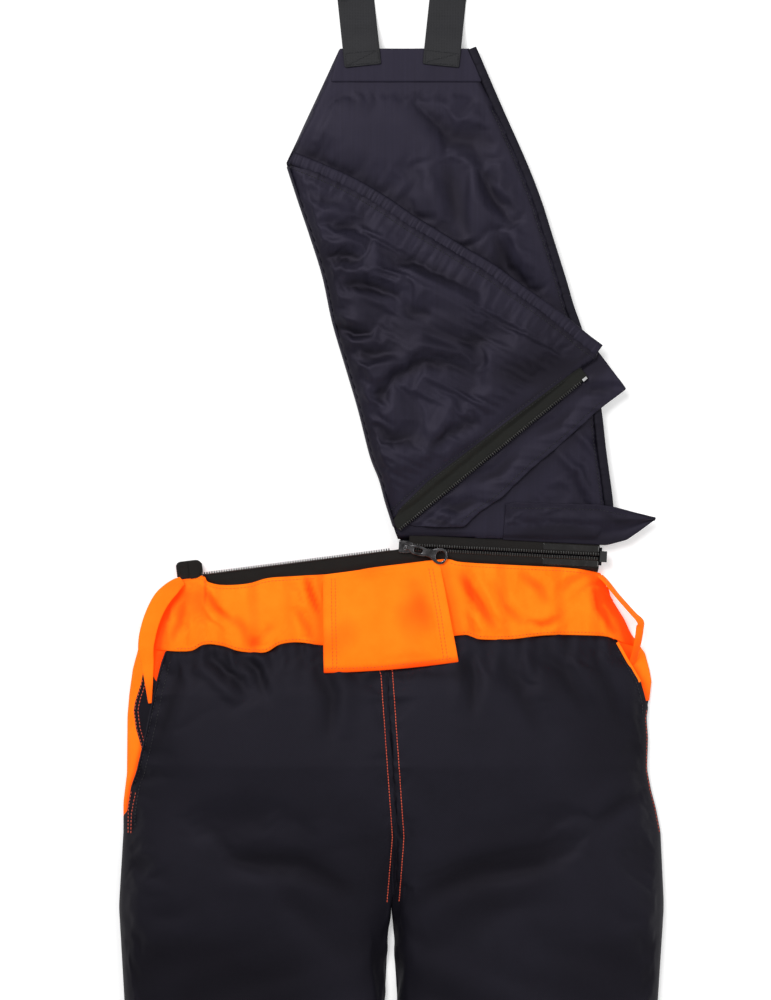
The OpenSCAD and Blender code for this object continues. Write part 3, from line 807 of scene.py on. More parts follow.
def waistband():
    t, v = np.meshgrid(np.sin(np.linspace(-math.pi / 2, math.pi / 2, 230)), np.linspace(0, 1, 34))
    x = t * 215
    for _ in range(4):
        low, top = lookup(x, BAND_LOW), lookup(x, BAND_TOP)
        y = low + (top - low) * v
        x = t * (np.where(t < 0, lookup(y, LEFT_EDGE), lookup(y, RIGHT_EDGE)) - 0.6)
    z = body_height(x, y) + 0.9 + band_folds(x, y)
    z -= 1.6 * (bell(v, 0.04) + bell(v - 1, 0.05))
    obj = grid_cloth("waistband_cloth", x, y, z, ORANGE, thickness=2.0)

    # Painted shade: in the creases and the troughs of the waves, beside the wide loop, towards the ends, in a
    # few small spots, and under the side loops.
    def painted_shade(x, y):
        v = up_band(x, y)
        beside_loop = bell(x + 71, 6) + bell(x - 68 + 19 * v, 7)
        edge = smooth(0.13, 0.02, 1 - np.abs(x) / half_width(x, y))
        waves = np.clip(-ripple(x + 5 * v, 31, 0.7), 0, 1)
        creases = 0.85 * np.clip(-press(x, y, BAND_CREASES) / 3.6, 0, 1)
        shade_spots = 0.2 * bell(x + 144, 9) * bell(v, 0.22) + 0.5 * bell(x + 187, 1.5) * smooth(0.5, 0.8, v)
        return creases + 0.25 * waves + 0.4 * beside_loop + 0.5 * edge + shade_spots + loop_shadow(x, y)

    return shade(obj, painted_shade)


def hip_cloth(side):
    """The orange side of the hip, from under the waistband to the pocket mouth."""
    low = -262 if side < 0 else -138
    t, v = np.meshgrid(1 - (1 - np.linspace(0, 1, 22)) ** 1.6, np.linspace(0, 1, 44))
    outer = SEAT_LEFT if side < 0 else SEAT_RIGHT
    edge = LEFT_EDGE if side < 0 else RIGHT_EDGE
    top = -74 if side > 0 else -80
    y = low + (top - low) * v
    x = side * (lookup(y, outer) - 7 + (lookup(y, edge) - lookup(y, outer) + 7) * t)
    z = body_height(x, y) - 2.6 + 1.6 * t + 0.5 * ripple(y, 21, 2.0) * np.sin(math.pi * t)
    name = "hip_cloth_left" if side < 0 else "hip_cloth_right"
    obj = grid_cloth(name, x, y, np.maximum(z, SEAM_Z), ORANGE, 1.2)

    # Painted shade beside the seat's edge and under the side loops.
    def painted_shade(x, y):
        from_seat = np.abs(x) - lookup(y, outer)
        return 0.8 * bell(np.clip(from_seat, 0, None), 6 if side > 0 else 3.5) + loop_shadow(x, y)

    return shade(obj, painted_shade)


FACING_EDGE = [(-190, 249), (-183, 251), (-165, 257), (-147, 259.6), (-138, 258), (-120, 252), (-100, 248)]


def pocket_facing():
    """The navy facing that shows in the left pocket's mouth."""
    t, v = np.meshgrid(np.linspace(0, 1, 14), np.linspace(0, 1, 50))
    y = -190 + (66 + 24 * t) * v
    inner = lookup(y, SEAT_LEFT) - 6
    x = -(inner + (lookup(y, FACING_EDGE) - inner) * t)
    z = body_height(x, y) - 0.9 - 0.8 * (1 - t)
    # The whole facing gets an even painted shade, lying down in the pocket's mouth.
    return shade(grid_cloth("pocket_facing_left", x, y, z, NAVY, 0.8), lambda x, y: 0.6 + 0 * x)


# ---------------------------------------------------------------- the trousers, back
def under_band(x, y, z):
    """The seat is held where the waistband covers it, and along its sides."""
    return smooth(-16, -4, y - lookup(x, BAND_LOW)) + bell(np.abs(x) - half_width(x, y), 9)


def band_held(x, y, z):
    """The waistband is held along its edges, under the wide loop and at the hips."""
    v = up_band(x, y)
    edges = smooth(0.12, 0.03, np.minimum(v, 1 - v))
    return edges + smooth(82, 74, np.abs(x + 2)) + smooth(0.07, 0.02, 1 - np.abs(x) / 240)


TROUSERS = "trousers"
seat_left = finish_piece(settle(seat_half(-1), 0.03, 2.4, under_band), TROUSERS, ["seat_left"])
seat_right = finish_piece(settle(seat_half(1), 0.03, 2.4, under_band), TROUSERS, ["seat_right"])
band = finish_piece(settle(waistband(), 0.03, 1.8, band_held), TROUSERS, ["waistband_back"])
hip_left = finish_piece(hip_cloth(-1), TROUSERS, ["hip_left"])
hip_right = finish_piece(hip_cloth(1), TROUSERS, ["hip_right"])
facing = finish_piece(pocket_facing(), TROUSERS, [])


LOOP_CREASES = [
    ([(-60, -92), (-48, -70), (-52, -40)], 5, 1.2, 0.5, 0.2),
    ([(-20, -100), (14, -94), (48, -92)], 5, 1.4, 0.4, -0.4),
    ([(30, -20), (44, -50), (50, -84)], 5, 1.2, 0.4, 0.3),
]


def centre_loop():
    """The wide loop stands off the waistband. Its foot is sewn to the seat, its top is under the zip's tape."""
    u, v = np.meshgrid(np.linspace(0, 1, 64), np.linspace(0, 1, 60))
    left = -67.5 - 1.5 * v
    right = 68 - 19 * v
    foot = -108 + 3 * u + 8 * u**2
    head = -10 + 15 * u
    x = left + (right - left) * u
    y = foot + (head - foot) * v
    lift = 2.4 + 8.8 * np.sin(math.pi * np.clip(v * 1.06, 0, 1)) ** 0.6
    z = body_height(x, y) + lift + 1.2 * cloud(x, y, 60, 12.0) * np.sin(math.pi * v)
    z -= 0.9 * (bell(u - 0.095, 0.012) + bell(u - 0.88, 0.012)) * smooth(0, 0.1, v)
    z -= 0.8 * bell(np.minimum(u, 1 - u), 0.012)
    z += 0.5 * ripple(x, 16, 1.1) * bell(v, 0.10) + press(x, y, LOOP_CREASES)
    obj = grid_cloth("centre_loop_cloth", x, y, z, ORANGE, 1.6)

    # Painted shade along its foot, where the edge rolls under, along its left side, in soft patches and in a
    # dent.
    def painted_shade(x, y):
        foot = lookup(x, [(-70, -108), (-30, -106), (30, -101), (68, -97)])
        dent = bell(path_distance(x, y, [(24, -20), (38, -60)])[0], 9)
        soft = np.clip(-cloud(x, y, 46, 17.0), 0, 1) * 0.7 + 0.3 * dent
        return 0.8 * smooth(9, 0, y - foot) + 0.2 * bell(x + 68, 2.5) + soft

    return shade(obj, painted_shade)


def side_loop_left():
    """A narrow loop that stands up from the waistband and ends in a point on the hip."""
    tip = [(x, y, body_height(x, y) + above) for x, y, above in [(-243, -118, 2.6), (-241.5, -139, 2.0)]]
    points = [(-210, -16, 15), (-218, -22, 19.5), (-231, -36, 22), (-241, -58, 22.5), (-246, -82, 21)]
    path = smooth_path([*points, (-244.5, -100, 18.8), *tip], 2.5)
    wide = [(0, 9), (0.1, 15), (0.2, 17.5), (0.5, 17), (0.62, 15.5), (0.74, 11.5), (0.86, 8), (1, 3)]
    width = lookup(np.linspace(0, 1, len(path)), wide)
    obj = ribbon("side_loop_left_cloth", path, width, ORANGE, 1.5, crown=1.0)
    # Painted shade towards its tip and near its top.
    return shade(obj, lambda x, y: 0.5 * smooth(-105, -132, y) + 0.25 * bell(y + 18, 8))


def side_loop_right():
    """A narrow loop that stands on its edge, leaning outwards."""
    path = smooth_path(
        [(210, -11, 14), (216, -17, 18), (227, -31, 21.5), (241, -47, 22.5), (250, -57, 21.5), (250, -62, 20),
         (248.5, -74, 19), (245.5, -88, 17), (242, -101, 13.5)],
        2.0,
    )
    s = np.linspace(0, 1, len(path))
    lean = np.radians(lookup(s, [(0, 60), (0.25, 70), (0.5, 68), (0.62, 45), (1, 34)]))[:, None]
    along = unit(np.gradient(path, axis=0))
    flat = unit(np.cross(along, [0, 0, 1.0]))
    across = flat * np.cos(lean) + np.cross(flat, along) * np.sin(lean)
    width = lookup(s, [(0, 9), (0.2, 13), (0.5, 13), (0.8, 10), (1, 8)])
    obj = ribbon("side_loop_right_cloth", path, width, ORANGE, 1.5, across=across, crown=0.6)
    # An even painted shade, more towards its lower end.
    return shade(obj, lambda x, y: 0.2 + 0.5 * smooth(-60, -96, y))


def welt(side):
    """The piped edge of a pocket's mouth."""
    outer = SEAT_LEFT if side < 0 else SEAT_RIGHT
    y = np.linspace(-222, -89, 70) if side < 0 else np.linspace(-118, -78, 30)
    x = side * (lookup(y, outer) - 1.2)
    path = np.column_stack([x, y, seat_height(x, y) + 0.6])
    across = np.tile([0.85, 0.1, 0.5] if side < 0 else [0.8, 0.5, -0.35], (len(path), 1))
    if side < 0:
        return ribbon("pocket_welt_left_cloth", path, 1.8, NAVY, 1.0, across=across, cols=4, crown=0.2)
    return ribbon("pocket_welt_right_cloth", path, 3.2, ORANGE, 1.2, across=across, cols=5, crown=0.4)


loop = finish_piece(centre_loop(), TROUSERS, ["centre_loop"])
loop_left = finish_piece(side_loop_left(), TROUSERS, ["side_loop_left"])
loop_right = finish_piece(side_loop_right(), TROUSERS, ["side_loop_right"])
finish_piece(welt(-1), TROUSERS, ["pocket_welt_left"])
finish_piece(welt(1), TROUSERS, ["pocket_welt_right"])

seat_top = Cloth(seat_left, seat_right)
band_top = Cloth(band)
loop_top = Cloth(loop)
seam_rows = [
    [(-12, -104), (-10, -109), (1.4, -270), (-4, -340)], [(0, -101), (1.4, -106), (12.9, -270), (8, -340)],
]
sew(
    "centre_seam_stitches", seam_rows, seat_top, ORANGE_THREAD, TROUSERS, "hi_vis", pitch=3.2, length=2.4,
    radius=0.5,
)
pocket_rows = [
    [(-lookup(y, SEAT_LEFT) + 3, y) for y in range(-222, -90, 6)],
    [(-lookup(y, SEAT_LEFT) + 9, y) for y in range(-262, -90, 6)],
    [(lookup(y, SEAT_RIGHT) - 5, y) for y in range(-150, -82, 6)],
]
sew("pocket_stitches", pocket_rows, seat_top, NAVY_THREAD, TROUSERS, "shell", radius=0.4)
side_rows = [
    [(-264.5, -270), (-264.5, -246), (-261, -226)], [(-261.5, -270), (-261, -250), (-256, -226)],
    [(lookup(y, RIGHT_EDGE) - 1.6, y) for y in range(-270, -140, 6)],
]
sew("side_stitches", side_rows, seat_top, ORANGE_THREAD, TROUSERS, "hi_vis", radius=0.42)
facing_rows = [
    [(inset - lookup(y, FACING_EDGE), y) for y in range(-184, end, 6)]
    for inset, end in ((1.2, -108), (5.0, -116))
]
sew("facing_stitches", facing_rows, Cloth(facing, hip_left), ORANGE_THREAD, TROUSERS, "hi_vis", radius=0.45)
band_rows = [
    [(x, lookup(x, edge) + inset) for x in np.arange(start, end, 5)]
    for edge, inset, start, end in [
        (BAND_TOP, -4, -205, -72), (BAND_TOP, -4, 60, 208), (BAND_LOW, 3.5, -215, -72),
        (BAND_LOW, 3.5, 72, 222),
    ]
]
sew("band_stitches", band_rows, band_top, DARK_THREAD, TROUSERS, "hi_vis", radius=0.3)
loop_rows = [
    [(-56, -14), (-55, -60), (-54, -104)], [(-60, -14), (-59, -60), (-58, -104)],
    [(38, -4), (46, -50), (53, -96)], [(42, -4), (50, -50), (57, -97)],
    [(-64, -103), (-20, -102), (30, -97), (64, -92)],
]
sew("loop_stitches", loop_rows, loop_top, DARK_THREAD, TROUSERS, "hi_vis", radius=0.32)


# ---------------------------------------------------------------- the zip at the waist
ZIP_AT = np.array([14.0, 18.0])
ZIP_TURN = -2.9  # the closed chain's slope, in degrees
OPEN_TURN = 7.3  # the open row's
CHAIN_Z = 12.0


def zip_point(u, v, turn=ZIP_TURN):
    """Points along the chain and across it, from where the slider stands."""
    return ZIP_AT[:, None] + turned(turn, np.ravel(u), np.ravel(v))


def zip_grid(u, v):
    x, y = zip_point(u, v)
    return x.reshape(np.shape(u)), y.reshape(np.shape(u))


def zip_line(start, end, step, turn=ZIP_TURN):
    return zip_point(np.arange(start, end, step), 0, turn).T


def tooth_row(name, path, normal, shift, fat=1.0, nearer=0.0):
    """Moulded teeth along the edge of a tape. path is the chain's middle line; normal points to the tape.

    The first tooth is shift along the path. fat widens the teeth, nearer moves them towards the middle line.
    """
    fine, pitch, half_height, ring = 0.25, 2.5, 1.2, 8
    line = spaced(path, fine)
    profile = [(3.9, 0.8), (2.6, 0.62), (1.9, 0.42), (1.5, 0.52), (1.0, 0.56), (0.7, 0.34)]
    parts = []
    for i in range(int(round(shift / fine)), len(line) - 2, int(round(pitch / fine))):
        along = line[min(i + 2, len(line) - 1)] - line[max(i - 2, 0)]
        along /= np.linalg.norm(along)
        side = normal - along * np.dot(normal, along)
        side /= np.linalg.norm(side)
        up = np.cross(along, side)
        up *= math.copysign(1, up[2])
        points = []
        for k, (away, half) in enumerate(profile):
            tall = half_height * (1.0 if 0 < k < 5 else 0.72)
            for a in 2 * math.pi * (np.arange(ring) + 0.5) / ring:
                across = math.copysign(abs(math.cos(a)) ** 0.6, math.cos(a)) * half * fat
                high = math.copysign(abs(math.sin(a)) ** 0.6, math.sin(a)) * tall
                points.append(line[i] + side * (away - nearer) + along * across + up * high)
        parts.append((np.array(points), tube_faces(len(profile), ring)))
    return recalculated(make(name, *joined(parts), TEETH))


def strip_grid(name, line, offsets, lift, material, thickness):
    """A long strip beside a line. offsets are sideways distances; lift(x, y, offsets) gives the heights."""
    along = unit(np.gradient(line, axis=0))
    side = np.column_stack([-along[:, 1], along[:, 0]])
    offsets = np.asarray(offsets, float)
    if offsets.ndim == 1:
        offsets = np.tile(offsets, (len(line), 1))
    x = line[:, None, 0] + side[:, None, 0] * offsets
    y = line[:, None, 1] + side[:, None, 1] * offsets
    return grid_cloth(name, x, y, lift(x, y, offsets), material, thickness, finer=False)


# the waistband's tape runs on from the open row into the closed one
open_line = zip_line(-206, -3, 2.0, OPEN_TURN)
closed_line = zip_line(4, 197, 2.0)
waist_line = spaced(smooth_path(np.vstack([open_line[::6], closed_line[2::6], closed_line[-1:]]), 2.0), 2.0)


def open_wave(x):
    """The open row wanders up and down between its ends."""
    return 0.7 * ripple(x, 60, 1.0) * smooth(30, 60, np.abs(x - ZIP_AT[0]))


def waist_tape_height(x, y, offsets):
    sunk = smooth(12.5, 17, -offsets)
    z = CHAIN_Z + open_wave(x) * (x < ZIP_AT[0]) + 0.4 * sunk
    z += 0.5 * ripple(x, 23, 2.0) * smooth(4, 12, -offsets) * (1 - sunk)
    under = smooth(1.5, -0.5, y - lookup(x, BAND_TOP))
    return z * (1 - under) + np.minimum(z, body_height(x, y) - 3) * under


def panel_tape_height(x, y, offsets):
    return CHAIN_Z - 0.8 * smooth(7, 12, offsets) + 0.2 * ripple(x, 20, 3.0) * smooth(3, 5, offsets)


lower = np.array([min(-14.1, -(y + 3 - lookup(x, BAND_TOP))) for x, y in waist_line])
inner_edge = -1.8 + smooth(2, 14, waist_line[:, 0])
tape_offsets = np.column_stack([inner_edge, *[-3.6 + (lower + 3.6) * k for k in (0, 0.2, 0.4, 0.6, 0.8, 1)]])
waist_tape = strip_grid("waist_tape_cloth", waist_line, tape_offsets, waist_tape_height, TAPE, 0.6)
finish_piece(waist_tape, TROUSERS, ["waist_tape"])
panel_offsets = np.r_[0.8, np.linspace(3.2, 12, 6)]
panel_tape = strip_grid("panel_tape_cloth", closed_line, panel_offsets, panel_tape_height, TAPE, 0.6)
finish_piece(panel_tape, TROUSERS, ["panel_tape"])
guard = strip_grid(
    "zip_guard_cloth", zip_line(-5, 202, 3.0), np.linspace(-9, 9, 8), lambda x, y,
    o: 7.9 + 0.25 * ripple(x, 40, 1.0), NAVY, 0.8,
)
# An even painted shade all over the strip under the chain.
shade(guard, lambda x, y: 0.8 + 0 * x)
finish_piece(guard, TROUSERS, [])


def lifted(line, z):
    """A path of 3-D points from one seen from above."""
    return np.column_stack([line, np.broadcast_to(z, len(line))])


row = waist_line[waist_line[:, 0] < 2]
row = lifted(row, CHAIN_Z + open_wave(row[:, 0]))
chain = lifted(zip_point(np.linspace(10, 196, 80), 0).T, CHAIN_Z)
open_teeth = tooth_row("open_teeth", row, (*turned(OPEN_TURN, 0, -1), 0), 0, fat=1.4, nearer=1.0)
closed_low = tooth_row("closed_teeth_low", chain, (*turned(ZIP_TURN, 0, -1), 0), 1.25)
closed_high = tooth_row("closed_teeth_high", chain, (*turned(ZIP_TURN, 0, 1), 0), 0)
finish_piece(open_teeth, TROUSERS, [])
finish_piece(closed_low, TROUSERS, ["waist_teeth"])
finish_piece(closed_high, TROUSERS, ["panel_teeth"])


def rolled_tape():
    """The loose end of the tape, rolled over twice at the hip."""
    middle = -219
    turns = np.linspace(0, 1, 90)
    a = -math.pi / 2 + 3.6 * math.pi * turns
    u = middle + np.sign(np.cos(a)) * np.abs(np.cos(a)) ** 0.75 * (13.8 - 3.0 * turns)
    z = 6.3 - 0.6 * turns - np.sin(a) * (5.2 - 2.6 * turns)
    path = lifted(zip_point(u, 4.1 + 0.8 * turns, OPEN_TURN).T, z)
    across = [(*turned(OPEN_TURN + twist, 0, 1), 0) for twist in 4 * (turns - 0.5)]
    width = 17.8 - 9 * (np.clip(np.abs(u - middle) - 7.0, 0, None) / 6.8) ** 2.4
    return ribbon("rolled_tape_cloth", path, width, TAPE, 0.7, across=across)


rolled = finish_piece(rolled_tape(), TROUSERS, ["tape_roll"])


def slab(outlines, z, thickness, bevel, place=None):
    """A flat part with rounded edges. Its first outline is its border, the others are its holes."""
    curve = bpy.data.curves.new("outline", "CURVE")
    curve.dimensions = "2D"
    curve.fill_mode = "BOTH"
    curve.extrude = (thickness / 2 - bevel) * MM
    curve.bevel_depth = bevel * MM
    curve.bevel_resolution = 2
    curve.offset = -bevel * MM
    for outline in outlines:
        spline = curve.splines.new("POLY")
        spline.points.add(len(outline) - 1)
        for point, (x, y) in zip(spline.points, outline):
            point.co = (x * MM, y * MM, 0, 1)
        spline.use_cyclic_u = True
    holder = bpy.data.objects.new("outline", curve)
    scene.collection.objects.link(holder)
    mesh = bpy.data.meshes.new_from_object(holder.evaluated_get(bpy.context.evaluated_depsgraph_get()))
    bpy.data.objects.remove(holder)
    points = np.array([tuple(v.co) for v in mesh.vertices]) / MM + [0, 0, z + thickness / 2]
    faces = [tuple(p.vertices) for p in mesh.polygons]
    return (place(points) if place else points), faces


def welded(name, parts, material):
    """Several parts as one piece with clean normals and sharp edges."""
    obj = recalculated(make(name, *joined(parts), material), weld=True)
    obj.data.set_sharp_from_angle(angle=math.radians(40))
    return obj


def circle(radius, centre=(0, 0), steps=40, stretch=1.0):
    a = np.linspace(0, 2 * math.pi, steps, endpoint=False)
    return [(centre[0] + stretch * radius * math.cos(t), centre[1] + radius * math.sin(t)) for t in a]


def rounded(points):
    """An outline through points with soft corners."""
    p = np.array(points, float)
    out = []
    for i in range(len(p)):
        before, at, after = p[i - 1], p[i], p[(i + 1) % len(p)]
        r = min(1.6, 0.42 * min(np.linalg.norm(at - before), np.linalg.norm(after - at)))
        a = at + (before - at) / np.linalg.norm(before - at) * r
        b = at + (after - at) / np.linalg.norm(after - at) * r
        out += [(1 - t) ** 2 * a + 2 * t * (1 - t) * at + t * t * b for t in (0, 0.25, 0.5, 0.75, 1)]
    return [tuple(q) for q in out]


def rectangle(left, right, low, high):
    return rounded([(left, low), (right, low), (right, high), (left, high)])


def in_zip_frame(points):
    return lifted(zip_point(points[:, 0], points[:, 1]).T, points[:, 2] + CHAIN_Z)


def in_pull_frame(points):
    """The pull's own frame: its pin at the origin, turned across the chain."""
    return in_zip_frame(lifted(turned(-12, points[:, 0] + 1, points[:, 1]).T, points[:, 2] + 5.4))


def upright_in_pull(part, shift=0.0):
    """A slab stood on its edge, in the pull's frame."""
    points, faces = part
    return in_pull_frame(points[:, [0, 2, 1]] + [0, shift, 0]), faces


wing = [
    (-6.2, -5.6), (-4.5, -6.2), (2, -6.2), (8, -4.6), (8.6, 0), (8, 4.6), (2, 6.2), (-4.5, 6.2),
    (-6.2, 5.6),
]
parts = [slab([rounded(wing)], z, 1.4, 0.45, in_zip_frame) for z in (1.6, -3.0)]
for side in (-1, 1):
    rail = rounded([(-5.8, side * 5.2), (2.2, side * 5.2), (2.2, side * 6.3), (-5.8, side * 6.3)][::side])
    parts += [slab([rail], z, 1.5, 0.3, in_zip_frame) for z in (0.75, -2.2)]
parts.append(slab([rectangle(-5.5, -1.5, -0.6, 0.6)], -1.7, 3.4, 0.1, in_zip_frame))
for side in (-1, 1):
    ear = rounded([(-1.9, -2.8), (1.9, -2.8), (1.6, 0.9), (0.8, 1.5), (-0.8, 1.5), (-1.6, 0.9)])
    parts.append(upright_in_pull(slab([ear], -0.6, 1.2, 0.3), 3.1 * side))
parts.append(tube(in_pull_frame(np.array([[0, y, 0] for y in np.linspace(-3.7, 3.7, 5)])), 0.9, 20))
finish_piece(welded("slider_body", parts, NICKEL), "slider", ["zip_slider"])

arm = [
    (1.2, -2.1), (4, -2.3), (8, -5.2), (16, -5.0), (22, -3.6), (27, -4.4), (31, -7.2), (36, -8.6),
    (41, -6.6),
]
arm += [(43.4, 0)] + [(x, -y) for x, y in arm[::-1]]
window = rounded([(8.6, -2.4), (17.4, -2.0), (17.4, 2.0), (8.6, 2.4)])
pull_parts = [
    slab([rounded(arm), window, circle(5.6, (36, 0), stretch=0.85)], -0.8, 1.6, 0.5, in_pull_frame),
    upright_in_pull(slab([circle(2.1, steps=28), circle(0.98, steps=28)], -2.2, 4.4, 0.25)),
]
finish_piece(welded("pull_body", pull_parts, NICKEL), "pull", ["zip_pull"])


# ---------------------------------------------------------------- panel
FOLD_LINE = [
    (3.5, 34), (-5.6, 62.3), (-12, 86), (-21, 109), (-33, 156), (-46, 200), (-59, 244), (-69, 290.5),
    (-82, 332), (-92.5, 363), (-106, 404),
]
FLAP_SEAM = [
    (205.5, 209.5), (190, 221), (169.5, 238), (149, 253), (125, 270), (97, 290.5), (71, 306), (45, 322),
    (16, 340), (-12, 359), (-43, 377), (-74, 391), (-103, 403),
]
PANEL_RIGHT = [
    (216, 24), (222, 42), (224, 59), (217, 113), (212, 157), (204, 200), (192.5, 237), (184, 261),
    (177, 285), (162, 333), (152, 365), (137, 404), (112, 460), (86, 520),
]


FLAP_AT = np.array([4.5, 29.0])
FLAP_TURN = 39.1  # the slope of the folded half's zip, in degrees


def flap_point(u, v):
    """Points along the flap's zip edge and away from it, from the lower end of the fold."""
    return FLAP_AT[:, None] + turned(FLAP_TURN, np.ravel(u), np.ravel(v))


def flap_grid(u, v):
    x, y = flap_point(u, v)
    return x.reshape(np.shape(u)), y.reshape(np.shape(u))


def flap_frame(x, y):
    """The other way: how far along the flap's zip edge a point lies, and how far from it."""
    return turned(-FLAP_TURN, x - FLAP_AT[0], y - FLAP_AT[1])


def beyond_seam(x, y):
    """How far a point lies outside the flap's elastic seam."""
    d, _, side = path_distance(x, y, FLAP_SEAM)
    return np.where(side > 0, -d, d)


BASE_CREASES = [
    ([(54, 410), (62, 372), (76, 326)], 10, 3.4, 0.7, -0.4),
    ([(92, 404), (102, 374), (122, 344)], 7, 3.4, 0.7, 0.3),
    ([(104, 334), (118, 304), (140, 270)], 9, 3.8, 0.7, 0.4),
    ([(20, 470), (60, 430), (110, 420)], 12, 2.2, 0.6, 0.2),
]


CORNER_FOLDS = [
    ([(165, 118), (188, 92), (206, 62)], 5, -3.4, 0.2, 0.4),
    ([(184, 136), (198, 122), (210, 106)], 4, -2.6, 0.2, 0.4),
    ([(196, 168), (206, 130), (214, 90)], 5, 1.8, 0.4, 0.2),
]


def base_top(x, y):
    """The panel that lies underneath: swollen where it is free, pressed flat under the folded half."""
    out = beyond_seam(x, y)
    free = smooth(8, 46, out)
    z = 11.6 + 3.6 * free + 1.0 * cloud(x, y, 70, 21.0) * (0.3 + free)
    z += press(x, y, BASE_CREASES) * smooth(2, 16, out)
    flat = smooth(440, 486, y)
    z = z * (1 - flat) + 10.9 * flat
    low = smooth(205, 185, y)
    z = z * (1 - low) + low * (12.2 + 0.8 * cloud(x, y, 50, 25.0))
    z += press(x, y, CORNER_FOLDS)
    free_top, covered_top = 19.5, 13.2
    return np.clip(z, 9.5, np.where((out > 8) | (flap_frame(x, y)[1] < -40), free_top, covered_top))


fold_side = spaced(smooth_path(FOLD_LINE[::-1], 5), 6) + [0.4, 0]
right_side = spaced(smooth_path([(x - 6, y) for x, y in PANEL_RIGHT], 4), 6)
base_outline = np.vstack([[(7, 25.6)], right_side, [(-52, 520)], fold_side])


def near_fold(x, y):
    return smooth(24, 5, path_distance(x, y, FOLD_LINE)[0])


def rim_width(x, y):
    """A pad's edge is thick and blunt, but its fold is drawn out over a longer way."""
    return 6 + 12 * near_fold(x, y)


def level_at(height):
    return lambda x, y: height + 0 * x


def base_level(x, y):
    return (base_top(x, y) + 4.6) / 2 * (1 - near_fold(x, y)) + 12.2 * near_fold(x, y)


base = pad_mesh("panel_base", base_outline, 3.6, base_top, level_at(4.6), rim_width, SATIN, base_level)
recalculated(base)


# Painted shade: in the creases, beside the folded half's seam and below its zip, and in a line inside the bound
# edge.
def base_painted_shade(x, y):
    out = beyond_seam(x, y)
    below = -34 - flap_frame(x, y)[1]
    under = bell(np.clip(out - 14, 0, None), 9) * (out > 0) + bell(np.clip(below, 0, None), 8) * (out < 0)
    edge = path_distance(x, y, PANEL_RIGHT)[0]
    return np.clip(-press(x, y, BASE_CREASES) / 3.4, 0, 1) + 0.7 * under + 0.6 * bell(edge - 10.5, 2.4)


shade(base, base_painted_shade)


def base_held(x, y, z):
    """Only the upper face is free, away from its edges and from what lies on it."""
    out = beyond_seam(x, y)
    border = path_distance(x, y, np.vstack([base_outline, base_outline[:1]]))[0]
    covered = smooth(16, 4, out) * (flap_frame(x, y)[1] > -60)
    return (z < 8) + smooth(22, 10, border) + covered + smooth(470, 480, y)


settle(base, 0.03, 2.2, base_held)
finish_piece(base, TROUSERS, ["panel_outer", "panel_wadding", "panel_lining"])


FLAP_WRINKLES = [
    ([(-66, 308), (-46, 309), (-26, 304)], 7, 4.4, 0.6, 0.3),
    ([(-48, 285), (-16, 278), (12, 269)], 7, 4.0, 0.7, 0.4),
    ([(10, 262), (22, 253), (42, 250)], 8, 2.6, 0.5, 0.3),
    ([(-58, 240), (-38, 234), (-16, 231)], 6, 3.8, 0.8, 0.4),
    ([(-38, 214), (-10, 210), (22, 211)], 7, 3.8, 0.7, -0.3),
    ([(-18, 156), (4, 188), (34, 202), (82, 197)], 8.5, 4.2, 0.8, 0.5),
    ([(36, 114), (60, 132), (92, 146)], 7, 3.2, 0.6, -0.4),
    ([(-22, 140), (4, 128), (40, 126)], 10, 3.2, 0.5, 0.3),
    ([(-20, 316), (24, 303), (100, 268)], 10, 2.6, 0.5, 0.2),
    ([(86, 192), (140, 192), (190, 200)], 14, 2.2, 0.4, 0.2),
    ([(30, 232), (66, 222), (110, 224)], 10, 2.4, 0.6, 0.3),
    ([(-70, 350), (-50, 340), (-28, 338)], 7, 2.0, 0.6, 0.3),
    ([(-30, 184), (-14, 178), (0, 160)], 6, 1.6, 0.6, 0.3),
    ([(-90, 376), (-66, 366), (-40, 362)], 6, 1.6, 0.6, 0.3),
]


SEAM_LENGTH = 360


def flap_top(x, y):
    """The folded half is padded: it swells in the middle, and folding it has pulled it into long wrinkles."""
    u, v = flap_frame(x, y)
    seam = -beyond_seam(x, y)
    ridge = path_distance(x, y, FOLD_LINE)[0]
    body = smooth(0, 45, seam) * smooth(12, 55, v)
    z = 19.4 + 5.0 * body + 1.4 * cloud(x, y, 90, 31.0) * body
    z += 1.4 * bell(ridge - 26, 16) * smooth(20, 70, v)
    z += 2.4 * bell(path_distance(x, y, [(-14, 292), (40, 276), (96, 262), (140, 246)])[0], 16)
    z += 1.5 * bell(path_distance(x, y, [(36, 113), (50, 138), (62, 160)])[0], 7)
    z += press(x, y, FLAP_WRINKLES)
    pull_in = 0.5 * ripple(path_distance(x, y, FLAP_SEAM)[1] * SEAM_LENGTH, 11, 2.0) * bell(seam, 12)
    z += pull_in + 0.35 * ripple(x * 0.5 + y, 17, 1.0) * body
    z -= 1.3 * bell(v - 23, 3.0) * smooth(200, 150, u)
    return np.clip(z, 17.6, 30)


def flap_level(x, y):
    return (flap_top(x, y) + 14.3) / 2 * (1 - near_fold(x, y)) + 13.1 * near_fold(x, y)


side_way = np.array([0.516, 0.857])  # square to the elastic seam, away from the flap
zip_side = smooth_path(flap_point([10, 60, 120, 180, 250], 12.6).T, 5)
flap_outline = np.vstack([
    spaced(zip_side, 6), [(206.5, 207)], spaced(smooth_path(FLAP_SEAM, 5), 6) + side_way * 5, fold_side[1:-1],
])
flap = pad_mesh("flap_quilt", flap_outline, 2.8, flap_top, level_at(14.3), rim_width, SATIN, flap_level)
recalculated(flap)


